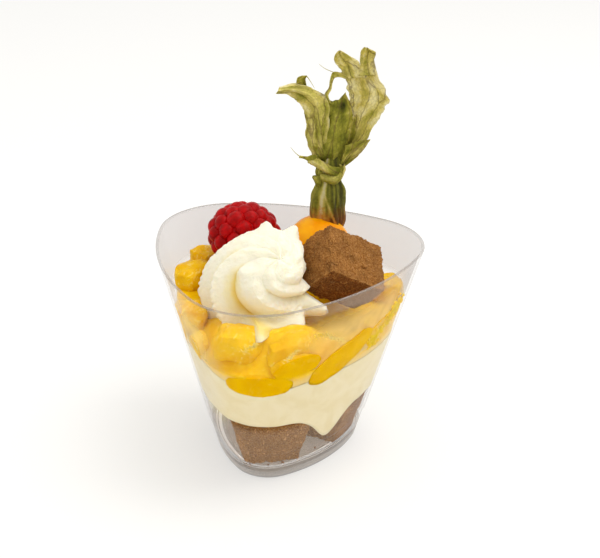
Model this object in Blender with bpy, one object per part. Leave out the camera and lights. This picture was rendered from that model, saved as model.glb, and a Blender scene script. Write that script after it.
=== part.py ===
"""A clear three-cornered dessert glass with cake pieces, custard cream, mango, a piped rosette and fruit.

Everything is modelled about the glass's own upright axis, in metres, and hung on one empty that sets
the axis so that the glass's box is centred on the origin. The front corner of the glass points to -Y.
"""

import math

import bmesh
import bpy
from mathutils import Matrix, Vector, noise

MM = 0.001

# The glass: height, wall and the rounded triangle of its rim and of its foot.
GLASS_HEIGHT = 62.7 * MM
WALL = 0.85 * MM
CORNER_REACH = (23.9 * MM, 42.5 * MM)
SIDE_REACH = (19.6 * MM, 35.0 * MM)
CORNER_RADIUS = (11.4 * MM, 21.5 * MM)
STEP_HEIGHT = 9.6 * MM
STEP_RISE = 1.0 * MM
STEP_INSET = 0.35 * MM
FLOOR_TOP = 3.4 * MM
FLOOR_UNDER = 1.7 * MM
FLOOR_ROUND = 1.7 * MM
RING_WIDTH = 1.9 * MM
FOOT_ROUND = 0.7 * MM
LIP_CHAMFER = 0.12 * MM
CORNER_STEPS = 8
SIDE_STEPS = 6
AROUND = 3 * (CORNER_STEPS + SIDE_STEPS)

# The fill: clear gap between pieces, and the heights of its layers above the foot.
GAP = 0.3 * MM
FILL_INSET = WALL + GAP
# How much larger a rough piece's helper is, where its neighbour makes room for it.
PIECE_ROOM = 0.8 * MM
CAKE_ROOM = 0.5 * MM
CAKE_TOP = 20.0 * MM
CREAM_UNDER = 20.6 * MM
CREAM_RIM_UNDER = 21.6 * MM
CREAM_TOP = 37.0 * MM
CREAM_RIM = 36.4 * MM
SAUCE_TOP = 45.0 * MM
SAUCE_RIM = 39.5 * MM
SAUCE_WAVES = 0.7 * MM
# Where a layer rises or falls round the wall: bearing in degrees, lift, half width in degrees.
CREAM_UNDER_EDGE = ((10, -3.0 * MM, 45),)
CREAM_TONGUE = ((-37, -9.4 * MM, 16),)
CREAM_EDGE = ((-125, 3.5 * MM, 25), (-80, -1.4 * MM, 16))
SAUCE_EDGE = ((165, 6.0 * MM, 50), (12, 5.5 * MM, 28))
# The sauce lies lower in front of the top cake piece, at this share of the way out.
SAUCE_DIP = ((-8, 3.2 * MM, 32),)
SAUCE_DIP_OUT = 0.7
SAUCE_DIP_WIDTH = 0.35

# The rings of a layer of the fill, as shares of the way from its middle to the wall.
LAYER_RINGS = (0.0, 0.35, 0.65, 0.86, 1.0)

# The piped rosette: its middle, the lean of its axis, its size and its ridges.
ROSETTE_FOOT = Vector((-5.6, -4.0, 50.5)) * MM
ROSETTE_LEAN = math.radians(28)
ROSETTE_RADIUS = 17.1 * MM
ROSETTE_HEIGHT = 18.5 * MM
ROSETTE_TIP_SHIFT = Vector((9.5, -1.5, -1.0)) * MM
ROSETTE_RIDGES = 7
ROSETTE_TWIST = math.radians(135)
ROSETTE_ROWS = 17
STEPS_A_RIDGE = 6
RIDGE_DEPTH = 0.2
# Where a ridge was drawn out: bearing, share of the way up, how far beyond the rest, and its lift.
DRAWN_ENDS = (
    (-66, 0.0, 7.5, 6.0),
    (-38, 0.0, 5.0, 2.5),
    (-17, 0.0, 6.0, 1.5),
    (22, 0.1, 1.8, 0.0),
    (66, 0.37, 3.4, 1.0),
    (96, 0.36, 3.0, 1.2),
    (165, 0.1, 1.2, 0.0),
)
DRAWN_WIDTH = math.radians(11)
DRAWN_SPREAD = 0.13

# The fruit on top.
RASPBERRY_AT = Vector((-16.0, 16.8, 59.2)) * MM
RASPBERRY_RADIUS = 11.2 * MM
RASPBERRY_TILT = (-20, 15, 30)
RASPBERRY_NARROWING = 0.16
DRUPELETS = 64
DRUPELET_RADIUS = 2.4 * MM
DRUPELET_RISE = 1.3 * MM
BERRY_AT = Vector((6.0, 21.0, 55.2)) * MM
BERRY_RADIUS = 10.0 * MM

# The top cake piece: three edges from its nearest corner.
TOP_CAKE_CORNER = Vector((17.8, -11.5, 63.2)) * MM
TOP_CAKE_SIZE = Vector((20.2, 13.3, 15.6)) * MM
TOP_CAKE_TURN = (-50.4, 29.2, 40.0)

# Cake pieces on the floor: middle, size, turn about Z, and how much narrower they are below.
FLOOR_CAKES = {
    "cake_floor_front": ((0.2, -14.0), (24.0, 17.0), 27.0, (0.66, 0.84), CAKE_TOP),
    "cake_floor_right": ((17.3, 3.2), (15.5, 18.5), -8.0, (0.86, 0.9), CAKE_TOP - 3.4 * MM),
    "cake_floor_left": ((-9.5, 6.5), (19.0, 17.0), 62.0, (0.85, 0.88), CAKE_TOP - 0.6 * MM),
}

# Mango pieces: bearing from the axis in degrees, distance out, height of the middle, size, turn and
# tilt. Slices against the front wall come first, and each piece makes room for those before it.
MANGO = (
    (-84, 31.6, 37.0, (14.5, 8.0, 5.2), 4, 0),
    (-66, 30.8, 42.6, (10.5, 7.0, 5.0), 26, -6),
    (-38, 28.6, 40.6, (20.0, 6.5, 6.6), 52, -25),
    (-123, 31.0, 42.6, (6.0, 6.0, 6.0), -30, 30),
    (-98, 27.2, 46.0, (12.5, 11.0, 8.5), 8, 6),
    (-69, 26.0, 44.4, (13.0, 11.0, 8.5), 35, -8),
    (-146, 27.0, 45.4, (10.0, 9.0, 8.0), 15, 8),
    (166, 31.0, 46.2, (12.0, 10.5, 8.5), 70, -6),
    (148, 35.0, 47.0, (9.0, 11.0, 8.5), 58, 5),
    (131, 23.5, 45.0, (12.5, 12.0, 8.0), 30, 0),
    (33, 33.5, 45.6, (9.5, 11.0, 7.0), 20, 6),
    (-6, 29.5, 42.6, (10.5, 10.0, 7.5), 78, 4),
    (100, 28.0, 44.4, (12.0, 7.5, 7.0), 5, 0),
    (66, 31.0, 43.6, (10.0, 8.0, 7.0), -25, 4),
)
# By their place in the list: those that dip into the custard, and those the rosette rests against.
CUSTARD_NEIGHBOURS = (0, 1, 2, 3)
ROSETTE_NEIGHBOURS = (4, 5, 6, 7, 9)
NEAR = 17.0 * MM

# The husk, seen square on: the two edges of each dried leaf from its root to its tip, in millimetres
# across, back and up from HUSK_AT.
HUSK_AT = Vector((8.0, 24.0, 60.0)) * MM
HUSK_TURN = 16.0
LEAF_THICKNESS = 0.5 * MM
HUSK_LEAVES = {
    "left": (
        (
            (-2.3, 0.0, 21.0),
            (-5.0, 0.5, 24.3),
            (-6.8, 1.0, 28.4),
            (-6.8, 1.5, 32.8),
            (-7.6, 2.0, 37.0),
            (-9.5, 1.5, 39.7),
            (-12.2, 0.0, 42.1),
            (-15.6, -2.0, 43.0),
        ),
        (
            (0.1, 0.0, 21.0),
            (0.2, -1.5, 25.0),
            (-0.2, -2.0, 29.4),
            (-0.3, -1.5, 33.7),
            (-0.2, 0.0, 39.3),
            (-3.5, 1.0, 42.9),
            (-9.3, 1.0, 45.0),
            (-14.7, -1.0, 44.4),
        ),
        -1.6,
    ),
    "left_curl": (
        ((-9.3, 1.0, 42.5), (-9.7, 1.0, 44.8), (-9.6, 0.0, 46.7), (-8.5, -1.5, 47.8)),
        ((-6.4, 1.0, 42.5), (-6.8, 1.0, 44.2), (-7.2, 0.0, 46.4), (-6.9, -1.5, 47.8)),
        0.5,
    ),
    "middle": (
        (
            (-3.2, 0.0, 20.7),
            (-4.2, -0.5, 25.5),
            (-4.2, 0.0, 29.9),
            (-3.7, 1.0, 34.5),
            (-1.7, 2.0, 37.8),
            (0.1, 2.5, 39.4),
        ),
        (
            (3.6, 0.0, 21.4),
            (4.7, -0.5, 25.6),
            (5.2, 0.0, 30.0),
            (5.1, 1.0, 34.8),
            (4.4, 2.0, 39.0),
            (3.8, 3.0, 42.3),
        ),
        -3.0,
    ),
    "right": (
        (
            (1.0, 0.0, 20.7),
            (2.7, 0.0, 24.8),
            (4.0, 0.5, 29.2),
            (4.8, 1.5, 33.8),
            (5.4, 2.5, 38.0),
            (5.6, 3.0, 42.0),
            (4.9, 3.0, 45.5),
            (3.3, 2.5, 48.0),
        ),
        (
            (3.8, 0.0, 21.2),
            (7.3, -1.5, 24.5),
            (10.9, -2.5, 29.3),
            (13.2, -3.0, 34.9),
            (15.3, -3.0, 38.7),
            (16.4, -2.5, 41.7),
            (14.3, -1.0, 46.0),
            (12.9, 0.0, 49.4),
        ),
        2.6,
    ),
    "right_tip": (
        ((8.2, 1.5, 47.4), (8.2, 1.0, 50.8), (8.3, 0.0, 54.1), (9.1, -2.0, 56.1)),
        ((13.3, -0.5, 48.2), (12.2, 0.0, 51.8), (12.5, 0.0, 54.1), (10.8, -2.0, 55.7)),
        0.8,
    ),
    "upper_tip": (
        ((4.3, 3.0, 46.1), (3.1, 3.0, 48.7), (1.7, 2.5, 50.4), (1.0, 1.5, 52.7), (2.0, 0.0, 54.5)),
        ((10.2, 1.0, 47.2), (8.4, 1.5, 50.3), (6.7, 1.5, 52.1), (4.7, 1.0, 53.4), (2.8, 0.0, 54.6)),
        0.7,
    ),
    "strand": (
        (
            (5.4, 3.0, 46.7),
            (3.1, 3.0, 47.6),
            (0.8, 2.5, 47.9),
            (-0.1, 2.0, 45.8),
            (-0.4, 1.5, 43.6),
            (-1.6, 1.0, 41.6),
            (-0.6, 1.0, 38.6),
        ),
        (
            (5.5, 3.0, 45.5),
            (3.3, 3.0, 46.5),
            (1.4, 2.5, 46.5),
            (0.7, 2.0, 45.2),
            (0.4, 1.5, 43.4),
            (-0.5, 1.0, 41.5),
            (0.5, 1.0, 38.9),
        ),
        0.0,
    ),
    "left_flap": (
        ((-1.6, -1.0, 19.5), (-4.4, -2.0, 21.4), (-6.8, -2.5, 23.3), (-8.9, -3.0, 24.2)),
        ((-1.1, -1.0, 23.2), (-4.5, -2.0, 24.6), (-6.5, -2.5, 24.2), (-8.7, -3.0, 24.6)),
        -0.5,
    ),
    "right_flap": (
        ((1.3, -1.0, 17.0), (2.7, -2.5, 16.9), (3.7, -3.5, 18.6)),
        ((2.1, -1.0, 22.0), (3.5, -2.5, 21.9), (4.2, -3.5, 21.0)),
        -0.4,
    ),
    "rear": (
        ((-2.0, 0.5, 20.0), (-4.0, 3.5, 24.0), (-5.5, 5.5, 28.5), (-4.0, 6.5, 32.5), (-1.0, 6.0, 35.5)),
        ((3.0, 0.5, 20.0), (6.0, 3.0, 23.5), (8.5, 4.5, 28.0), (8.0, 6.0, 32.0), (4.5, 6.5, 35.0)),
        1.8,
    ),
}

# The sheath under the leaves: (height, half width, shift across), gathered at the knot.
SHEATH = (
    (0.5, 4.4, -0.2),
    (3.5, 5.1, -0.2),
    (7.0, 5.1, -0.2),
    (11.0, 4.9, 0.0),
    (14.0, 4.2, 0.2),
    (16.4, 3.4, 0.2),
    (19.0, 4.0, 0.2),
    (21.5, 3.2, 0.5),
    (24.0, 2.2, 0.6),
)
SHEATH_PLEATS = 5
SHEATH_DEPTH = 0.86
PLEAT_DEPTH = 0.13

# Colour and roughness of each kind of piece.
COLOURS = {
    "glass": ((0.93, 0.92, 0.94), 0.05),
    "cake": ((0.24, 0.12, 0.055), 0.9),
    "custard": ((0.88, 0.79, 0.52), 0.45),
    "sauce": ((0.85, 0.52, 0.09), 0.2),
    "mango": ((0.9, 0.58, 0.02), 0.25),
    "cream": ((0.93, 0.9, 0.74), 0.5),
    "raspberry": ((0.5, 0.01, 0.02), 0.35),
    "physalis": ((0.93, 0.4, 0.01), 0.25),
    "husk": ((0.32, 0.34, 0.09), 0.7),
}
ROUND_KINDS = ("glass", "custard", "sauce", "cream", "raspberry", "physalis", "husk")


def clear_scene():
    """Remove whatever the scene holds."""
    for obj in list(bpy.data.objects):
        bpy.data.objects.remove(obj, do_unlink=True)


def material(kind):
    """The shared material of one kind of piece."""
    found = bpy.data.materials.get(kind)
    if found:
        return found
    colour, roughness = COLOURS[kind]
    made = bpy.data.materials.new(kind)
    made.use_nodes = True
    shader = made.node_tree.nodes["Principled BSDF"]
    shader.inputs["Base Color"].default_value = (*colour, 1)
    shader.inputs["Roughness"].default_value = roughness
    shader.inputs["Metallic"].default_value = 0
    made.diffuse_color = (*colour, 1)
    return made


def as_object(name, bm, kind):
    """Turn the edited mesh into a named object on the glass's axis, round pieces shaded smooth."""
    bmesh.ops.recalc_face_normals(bm, faces=bm.faces)
    for face in bm.faces:
        face.smooth = kind in ROUND_KINDS
    mesh = bpy.data.meshes.new(name)
    bm.to_mesh(mesh)
    bm.free()
    mesh.materials.append(material(kind))
    obj = bpy.data.objects.new(name, mesh)
    bpy.context.scene.collection.objects.link(obj)
    obj.parent = bpy.data.objects.get("glass_axis")
    return obj


def mix(low, high, share):
    return low + (high - low) * share


def smooth(share):
    """An even ramp from 0 to 1 with level ends."""
    share = min(1.0, max(0.0, share))
    return share * share * (3 - 2 * share)


def bump(value, middle, width):
    """A smooth hump that is 1 at its middle and falls away over its width."""
    return math.exp(-(((value - middle) / width) ** 2))


def angle_between(first, second):
    return (first - second + math.pi) % math.tau - math.pi


def wrap(around, along, place):
    """A closed skin: a grid whose first side runs round and whose second runs from pole to pole."""
    bm = bmesh.new()
    grid = bmesh.ops.create_grid(bm, x_segments=around, y_segments=along, size=0.5)
    for vert in grid["verts"]:
        step = round((vert.co.x + 0.5) * around)
        row = round((vert.co.y + 0.5) * along)
        vert.co = place(step % around, row)
    bmesh.ops.remove_doubles(bm, verts=bm.verts, dist=1e-6)
    return bm


def outline(height, inset):
    """The rounded triangle at this height: three corner arcs joined by three flatter side arcs."""
    share = height / GLASS_HEIGHT
    corner = mix(*CORNER_RADIUS, share)
    corner_middle = mix(*CORNER_REACH, share) - corner
    slack = mix(*SIDE_REACH, share) - corner
    side_middle = (slack**2 - corner_middle**2) / (corner_middle - 2 * slack)
    side = math.sqrt(corner_middle**2 + side_middle**2 + corner_middle * side_middle) + corner
    half_turn = math.atan2(
        side_middle * math.sin(math.pi / 3), corner_middle + side_middle * math.cos(math.pi / 3)
    )
    points = []
    for third in range(3):
        facing = math.radians(-90 + 120 * third)
        for step in range(CORNER_STEPS):
            angle = facing + half_turn * (2 * step / CORNER_STEPS - 1)
            points.append(
                Vector((math.cos(facing), math.sin(facing))) * corner_middle
                + Vector((math.cos(angle), math.sin(angle))) * (corner - inset)
            )
        middle = facing + math.pi / 3
        half_side = math.pi / 3 - half_turn
        for step in range(SIDE_STEPS):
            angle = middle + half_side * (2 * step / SIDE_STEPS - 1)
            points.append(
                Vector((math.cos(middle), math.sin(middle))) * -side_middle
                + Vector((math.cos(angle), math.sin(angle))) * (side - inset)
            )
    return points


def ring_table(profile):
    """Rings of the glass's outline for each (height, inset, share of the way out)."""
    rings = []
    for height, inset, share in profile:
        ring = [point * share for point in outline(height, inset)]
        rings.append([Vector((point.x, point.y, height)) for point in ring])
    return rings


def glass():
    """The tumbler: a recessed foot ring, a small stacking step, thin walls and a rounded lip."""
    step_top = STEP_HEIGHT + STEP_RISE
    lip = WALL / 2
    ring_in = STEP_INSET + FOOT_ROUND + RING_WIDTH
    inner = STEP_INSET + WALL
    profile = [
        (FLOOR_UNDER, STEP_INSET, 0.0),
        (FLOOR_UNDER, ring_in + FOOT_ROUND, 1.0),
        (0.0, ring_in, 1.0),
        (0.0, STEP_INSET + FOOT_ROUND, 1.0),
        (0.3 * FOOT_ROUND, STEP_INSET + 0.3 * FOOT_ROUND, 1.0),
        (FOOT_ROUND, STEP_INSET, 1.0),
        (STEP_HEIGHT, STEP_INSET, 1.0),
        (step_top, 0.0, 1.0),
        (GLASS_HEIGHT - lip, 0.0, 1.0),
        (GLASS_HEIGHT - LIP_CHAMFER, LIP_CHAMFER, 1.0),
        (GLASS_HEIGHT, lip, 1.0),
        (GLASS_HEIGHT - LIP_CHAMFER, WALL - LIP_CHAMFER, 1.0),
        (GLASS_HEIGHT - lip, WALL, 1.0),
        (step_top, WALL, 1.0),
        (STEP_HEIGHT, inner, 1.0),
        (FLOOR_TOP + FLOOR_ROUND, inner, 1.0),
        (FLOOR_TOP + 0.3 * FLOOR_ROUND, inner + 0.3 * FLOOR_ROUND, 1.0),
        (FLOOR_TOP, inner + FLOOR_ROUND, 1.0),
        (FLOOR_TOP, WALL, 0.0),
    ]
    rings = ring_table(profile)
    bm = wrap(AROUND, len(profile) - 1, lambda step, row: rings[row][step])
    return as_object("glass", bm, "glass")


def inner_solid(name):
    """The room inside the glass, less the gap: what the fill is cut to."""
    floor = FLOOR_TOP + GAP
    inner = FILL_INSET + STEP_INSET
    open_top = GLASS_HEIGHT + FLOOR_TOP
    profile = [
        (floor, FILL_INSET, 0.0),
        (floor, inner + FLOOR_ROUND + 0.2 * MM, 1.0),
        (floor + 0.3 * FLOOR_ROUND, inner + 0.4 * FLOOR_ROUND, 1.0),
        (floor + FLOOR_ROUND, inner, 1.0),
        (STEP_HEIGHT, inner, 1.0),
        (STEP_HEIGHT + STEP_RISE, FILL_INSET, 1.0),
        (open_top, FILL_INSET, 1.0),
        (open_top, FILL_INSET, 0.0),
    ]
    rings = ring_table(profile)
    bm = wrap(AROUND, len(profile) - 1, lambda step, row: rings[row][step])
    return as_helper(as_object(name, bm, "glass"))


def as_helper(obj):
    """Mark an object that only cuts others."""
    obj.hide_render = True
    obj.display_type = "WIRE"
    return obj


def drop(obj):
    bpy.data.objects.remove(obj, do_unlink=True)


def boolean(obj, operation, others, solver="EXACT"):
    """Apply one Boolean with the objects named, which are then removed."""
    group = bpy.data.collections.new("helpers")
    bpy.context.scene.collection.children.link(group)
    for other in others:
        group.objects.link(other)
    cut = obj.modifiers.new(operation.lower(), "BOOLEAN")
    cut.operation = operation
    cut.solver = solver
    cut.operand_type = "COLLECTION"
    cut.collection = group
    graph = bpy.context.evaluated_depsgraph_get()
    mesh = bpy.data.meshes.new_from_object(obj.evaluated_get(graph))
    obj.modifiers.clear()
    obj.data = mesh
    bpy.data.collections.remove(group)
    for other in others:
        drop(other)
    return obj


def fill_hollows(obj):
    """Drop every shell but the largest: hollows that the union sealed, and loose scraps."""
    bm = bmesh.new()
    bm.from_mesh(obj.data)
    left = set(bm.verts)
    shells = []
    while left:
        shell = [left.pop()]
        for vert in shell:
            for edge in vert.link_edges:
                other = edge.other_vert(vert)
                if other in left:
                    left.remove(other)
                    shell.append(other)
        shells.append(shell)
    shells.sort(key=len)
    for shell in shells[:-1]:
        bmesh.ops.delete(bm, geom=shell, context="VERTS")
    bm.to_mesh(obj.data)
    bm.free()
    return obj


def block(size, cuts, seed, grow=0.0, roundness=0.12, rough=0.4 * MM, taper=(1.0, 1.0)):
    """A lumpy six-sided piece about its own middle: worn corners, uneven faces, narrower below."""
    bm = bmesh.new()
    bmesh.ops.create_cube(bm, size=2.0)
    bmesh.ops.subdivide_edges(bm, edges=bm.edges, cuts=cuts, use_grid_fill=True)
    offset = Vector((seed * 3.7, seed * 1.9, seed * 5.3))
    for vert in bm.verts:
        cube = vert.co.copy()
        ball = cube.normalized() * 1.2
        worn = cube.lerp(ball, roundness)
        down = (1 - cube.z) / 2
        place = Vector((worn.x * size[0], worn.y * size[1], worn.z * size[2])) / 2
        place.x *= mix(1.0, taper[0], down)
        place.y *= mix(1.0, taper[1], down)
        place += ball.normalized() * rough * noise.noise(place / (4.2 * MM) + offset)
        vert.co = place + cube.normalized() * grow * 1.4
    return bm


def bent(angle, reach):
    """A level vector of this length, at this bearing."""
    return Vector((math.cos(angle) * reach, math.sin(angle) * reach, 0))


def edge_lift(angle, edge):
    """How far a layer is lifted at this bearing, for one of the edge tables."""
    return sum(
        lift * bump(angle_between(angle, math.radians(bearing)), 0, math.radians(width))
        for bearing, lift, width in edge
    )


def cream_under(angle, share):
    """Height of the custard's underside: flat on the cake, with a tongue run down at the wall."""
    edge = CREAM_RIM_UNDER + edge_lift(angle, CREAM_UNDER_EDGE)
    tongue = edge_lift(angle, CREAM_TONGUE) * smooth((share - 0.5) / 0.4)
    return mix(CREAM_UNDER, edge, smooth((share - 0.7) / 0.3)) + tongue


def cream_top(angle, share):
    """Height of the custard's top, where the mango lies: higher at the left of the front wall."""
    edge = CREAM_RIM + edge_lift(angle, CREAM_EDGE)
    return mix(CREAM_TOP, edge, smooth((share - 0.6) / 0.4))


def sauce_top(angle, share):
    """Height of the mango sauce: a heap that falls to the wall, less so at the left and right corners."""
    edge = SAUCE_RIM + edge_lift(angle, SAUCE_EDGE)
    height = mix(SAUCE_TOP, edge, smooth((share - 0.66) / 0.34))
    dip = edge_lift(angle, SAUCE_DIP) * bump(share, SAUCE_DIP_OUT, SAUCE_DIP_WIDTH)
    waves = SAUCE_WAVES * noise.noise(bent(angle, share) * 4.0)
    return height - dip + waves * smooth(1.6 - share * 1.5)


def layer(under, top, side_rows):
    """A layer of the fill between two height functions, out to the wall less the gap."""
    angles = [math.atan2(point.y, point.x) for point in outline(CREAM_TOP, FILL_INSET)]
    rows = [("under", share) for share in LAYER_RINGS]
    rows += [("side", row / (side_rows + 1)) for row in range(1, side_rows + 1)]
    rows += [("top", share) for share in reversed(LAYER_RINGS)]

    def place(step, row):
        kind, share = rows[row]
        angle = angles[step]
        if share == 0.0:
            angle = 0.0
        if kind == "under":
            height = under(angle, share)
        elif kind == "top":
            height = top(angle, share)
        else:
            height = mix(under(angle, 1.0), top(angle, 1.0), share)
            share = 1.0
        point = outline(height, FILL_INSET)[step] * share
        return Vector((point.x, point.y, height))

    bm = wrap(AROUND, len(rows) - 1, place)
    # The same diagonals on both sides of a gap keep it even.
    bmesh.ops.triangulate(bm, faces=bm.faces, quad_method="SHORT_EDGE")
    return bm


def at(name, bm, kind, place, turn):
    """Name a piece that was modelled about its own middle, and set it in its place."""
    bm.transform(Matrix.Translation(place) @ turn)
    return as_object(name, bm, kind)


def turned(x=0.0, y=0.0, z=0.0):
    """A turn about X, then Y, then Z, in degrees."""
    return (
        Matrix.Rotation(math.radians(z), 4, "Z")
        @ Matrix.Rotation(math.radians(y), 4, "Y")
        @ Matrix.Rotation(math.radians(x), 4, "X")
    )


def floor_cake(name, grow=0.0):
    """One cake piece on the floor of the glass, narrower below where it slopes in from the wall."""
    middle, size, turn, taper, top = FLOOR_CAKES[name]
    low = FLOOR_TOP + GAP - grow
    high = top + grow
    seed = 1 + list(FLOOR_CAKES).index(name)
    bm = block((size[0] * MM, size[1] * MM, high - low), 4, seed, grow, 0.1, 0.5 * MM, taper)
    place = Vector((middle[0] * MM, middle[1] * MM, (low + high) / 2))
    return at(name, bm, "cake", place, turned(z=turn))


def floor_cakes():
    """The cake pieces on the floor, trimmed where they meet the wall."""
    for name in FLOOR_CAKES:
        boolean(floor_cake(name), "INTERSECT", [inner_solid("room")])


def custard():
    """The custard cream, poured over the cake pieces, with the lowest mango slices let into it."""
    obj = as_object("custard_cream", layer(cream_under, cream_top, 1), "custard")
    cutters = [floor_cake(name, PIECE_ROOM) for name in FLOOR_CAKES]
    cutters += [mango_piece(number, PIECE_ROOM) for number in CUSTARD_NEIGHBOURS]
    return fill_hollows(boolean(obj, "DIFFERENCE", cutters))


def mango_place(number):
    """The middle of a mango piece."""
    bearing, out, height = MANGO[number][:3]
    return bent(math.radians(bearing), out * MM) + Vector((0, 0, height * MM))


def mango_piece(number, grow=0.0):
    """One soft-edged mango piece, or the slightly larger helper that makes room for it."""
    size, turn, tilt = MANGO[number][3:]
    bm = block(Vector(size) * MM, 1 if grow else 2, 11 + number, grow, 0.3, 0.8 * MM)
    name = f"mango_piece_{number + 1:02d}"
    return at(name, bm, "mango", mango_place(number), turned(y=tilt, z=turn))


def mango():
    """The mango pieces, trimmed by the wall, by the fruit and by each other."""
    for number in range(len(MANGO)):
        place = mango_place(number)
        cutters = [
            mango_piece(earlier, PIECE_ROOM)
            for earlier in range(number)
            if (mango_place(earlier) - place).length < NEAR
        ]
        if (RASPBERRY_AT - place).length < NEAR:
            cutters.append(raspberry(GAP))
        if (BERRY_AT - place).length < NEAR:
            cutters.append(physalis_berry(GAP))
        obj = boolean(mango_piece(number), "INTERSECT", [inner_solid("room")])
        if cutters:
            fill_hollows(boolean(obj, "DIFFERENCE", cutters))


def cake_top(grow=0.0):
    """The cake piece on top, which shows three of its faces round its nearest corner."""
    bm = block(TOP_CAKE_SIZE, 5, 5, grow, 0.1, 0.5 * MM)
    turn = turned(*TOP_CAKE_TURN)
    middle = TOP_CAKE_CORNER + turn.to_3x3() @ (TOP_CAKE_SIZE / 2)
    return at("cake_top", bm, "cake", middle, turn)


def sauce_heap(name, grow=0.0):
    """The sauce from the custard up to its heaped top, before the pieces are let into it."""

    def under(angle, share):
        return cream_top(angle, share) + GAP - grow

    def top(angle, share):
        return sauce_top(angle, share) + grow

    return as_object(name, layer(under, top, 0), "sauce")


def sauce():
    """The mango sauce, with room in it for the pieces that are let into it."""
    obj = sauce_heap("mango_sauce")
    cutters = [mango_piece(number, PIECE_ROOM) for number in range(len(MANGO))]
    cutters += [cake_top(CAKE_ROOM), physalis_berry(GAP)]
    return fill_hollows(boolean(obj, "DIFFERENCE", cutters))


def raspberry(grow=0.0):
    """A berry of round drupelets set in a spiral over a short blunt cone."""
    bm = bmesh.new()
    bmesh.ops.create_icosphere(bm, subdivisions=3 if grow else 4, radius=1.0)
    spots = []
    for number in range(DRUPELETS):
        height = 1 - (2 * number + 1) / DRUPELETS
        turn = number * math.pi * (3 - math.sqrt(5))
        spots.append(bent(turn, math.sqrt(1 - height * height)) + Vector((0, 0, height)))
    for vert in bm.verts:
        way = vert.co.normalized()
        nearest = min((way - spot).length for spot in spots) * RASPBERRY_RADIUS
        swell = math.sqrt(max(0.0, 1 - (nearest / DRUPELET_RADIUS) ** 2))
        reach = RASPBERRY_RADIUS * (1 - RASPBERRY_NARROWING * smooth((way.z + 0.2) / 1.2))
        if grow:
            reach += 0.3 * MM + grow * 2
        else:
            reach += DRUPELET_RISE * swell - 1.0 * MM
        vert.co = way * reach
    return at("raspberry", bm, "raspberry", RASPBERRY_AT, turned(*RASPBERRY_TILT))


def physalis_berry(grow=0.0):
    """The smooth round berry that the husk stands on."""
    bm = bmesh.new()
    bmesh.ops.create_uvsphere(bm, u_segments=22, v_segments=12, radius=BERRY_RADIUS + grow * 1.5)
    return at("physalis_berry", bm, "physalis", BERRY_AT, Matrix.Identity(4))


def rosette():
    """A piped swirl: a dome whose ridges wind in towards its tip, with some ends drawn out."""
    around = ROSETTE_RIDGES * STEPS_A_RIDGE

    def place(step, row):
        turn = math.tau * step / around
        if row == 0:
            return Vector((0, 0, 0))
        if row == 1:
            return bent(turn, ROSETTE_RADIUS * 0.75)
        if row == ROSETTE_ROWS:
            return ROSETTE_TIP_SHIFT + Vector((0, 0, ROSETTE_HEIGHT * 1.03))
        share = (row - 2) / (ROSETTE_ROWS - 2)
        reach = ROSETTE_RADIUS * math.cos(share * math.pi / 2) ** 0.75
        height = ROSETTE_HEIGHT * math.sin(share * math.pi / 2) ** 1.1 + 1.2 * MM * (share > 0)
        ridge = abs(math.sin(turn * ROSETTE_RIDGES / 2)) ** 0.8
        reach *= 1 - RIDGE_DEPTH * (1 - 0.5 * share) * (1 - ridge)
        height *= 1 - 0.06 * (1 - ridge)
        bearing = turn - ROSETTE_TWIST * share
        for degrees, level, length, lift in DRAWN_ENDS:
            near = bump(angle_between(bearing, math.radians(degrees)), 0, DRAWN_WIDTH)
            near *= bump(share, level, DRAWN_SPREAD)
            reach += length * MM * near
            height += lift * MM * near
        return bent(bearing, reach) + Vector((0, 0, height)) + ROSETTE_TIP_SHIFT * share**1.5

    lean = Matrix.Rotation(ROSETTE_LEAN, 4, "X")
    return at("whipped_cream", wrap(around, ROSETTE_ROWS, place), "cream", ROSETTE_FOOT, lean)


def along_curve(points, share):
    """A point on the smooth curve through the points given (Catmull-Rom)."""
    spans = len(points) - 1
    span = min(int(share * spans), spans - 1)
    part = share * spans - span
    before = Vector(points[max(span - 1, 0)])
    start = Vector(points[span])
    end = Vector(points[span + 1])
    after = Vector(points[min(span + 2, spans)])
    pull_start = (end - before) / 2
    pull_end = (after - start) / 2
    square = part * part
    cube = square * part
    return (
        start * (2 * cube - 3 * square + 1)
        + pull_start * (cube - 2 * square + part)
        + end * (3 * square - 2 * cube)
        + pull_end * (cube - square)
    )


def leaf(name):
    """A thin wavy leaf between two edges, hollowed or swelled by its belly, of even thickness."""
    left, right, belly = HUSK_LEAVES[name]
    seed = list(HUSK_LEAVES).index(name)
    across = 4 if abs(belly) > 1 else 2
    along = 2 * (len(left) - 1)
    bm = bmesh.new()
    grid = bmesh.ops.create_grid(bm, x_segments=across, y_segments=along, size=0.5)
    for vert in grid["verts"]:
        side = vert.co.x + 0.5
        share = vert.co.y + 0.5
        place = along_curve(left, share).lerp(along_curve(right, share), side)
        width = (Vector(left[len(left) // 2]) - Vector(right[len(right) // 2])).length
        wave = 0.09 * width * noise.noise(Vector((side * 2.3, share * 4.1, seed * 2.7)))
        place.y += belly * (1 - (2 * side - 1) ** 2) * smooth(share * 4) + wave
        vert.co = place * MM
    bmesh.ops.triangulate(bm, faces=bm.faces)
    bmesh.ops.solidify(bm, geom=bm.faces, thickness=LEAF_THICKNESS)
    return at("leaf", bm, "husk", HUSK_AT, turned(z=HUSK_TURN))


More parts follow.
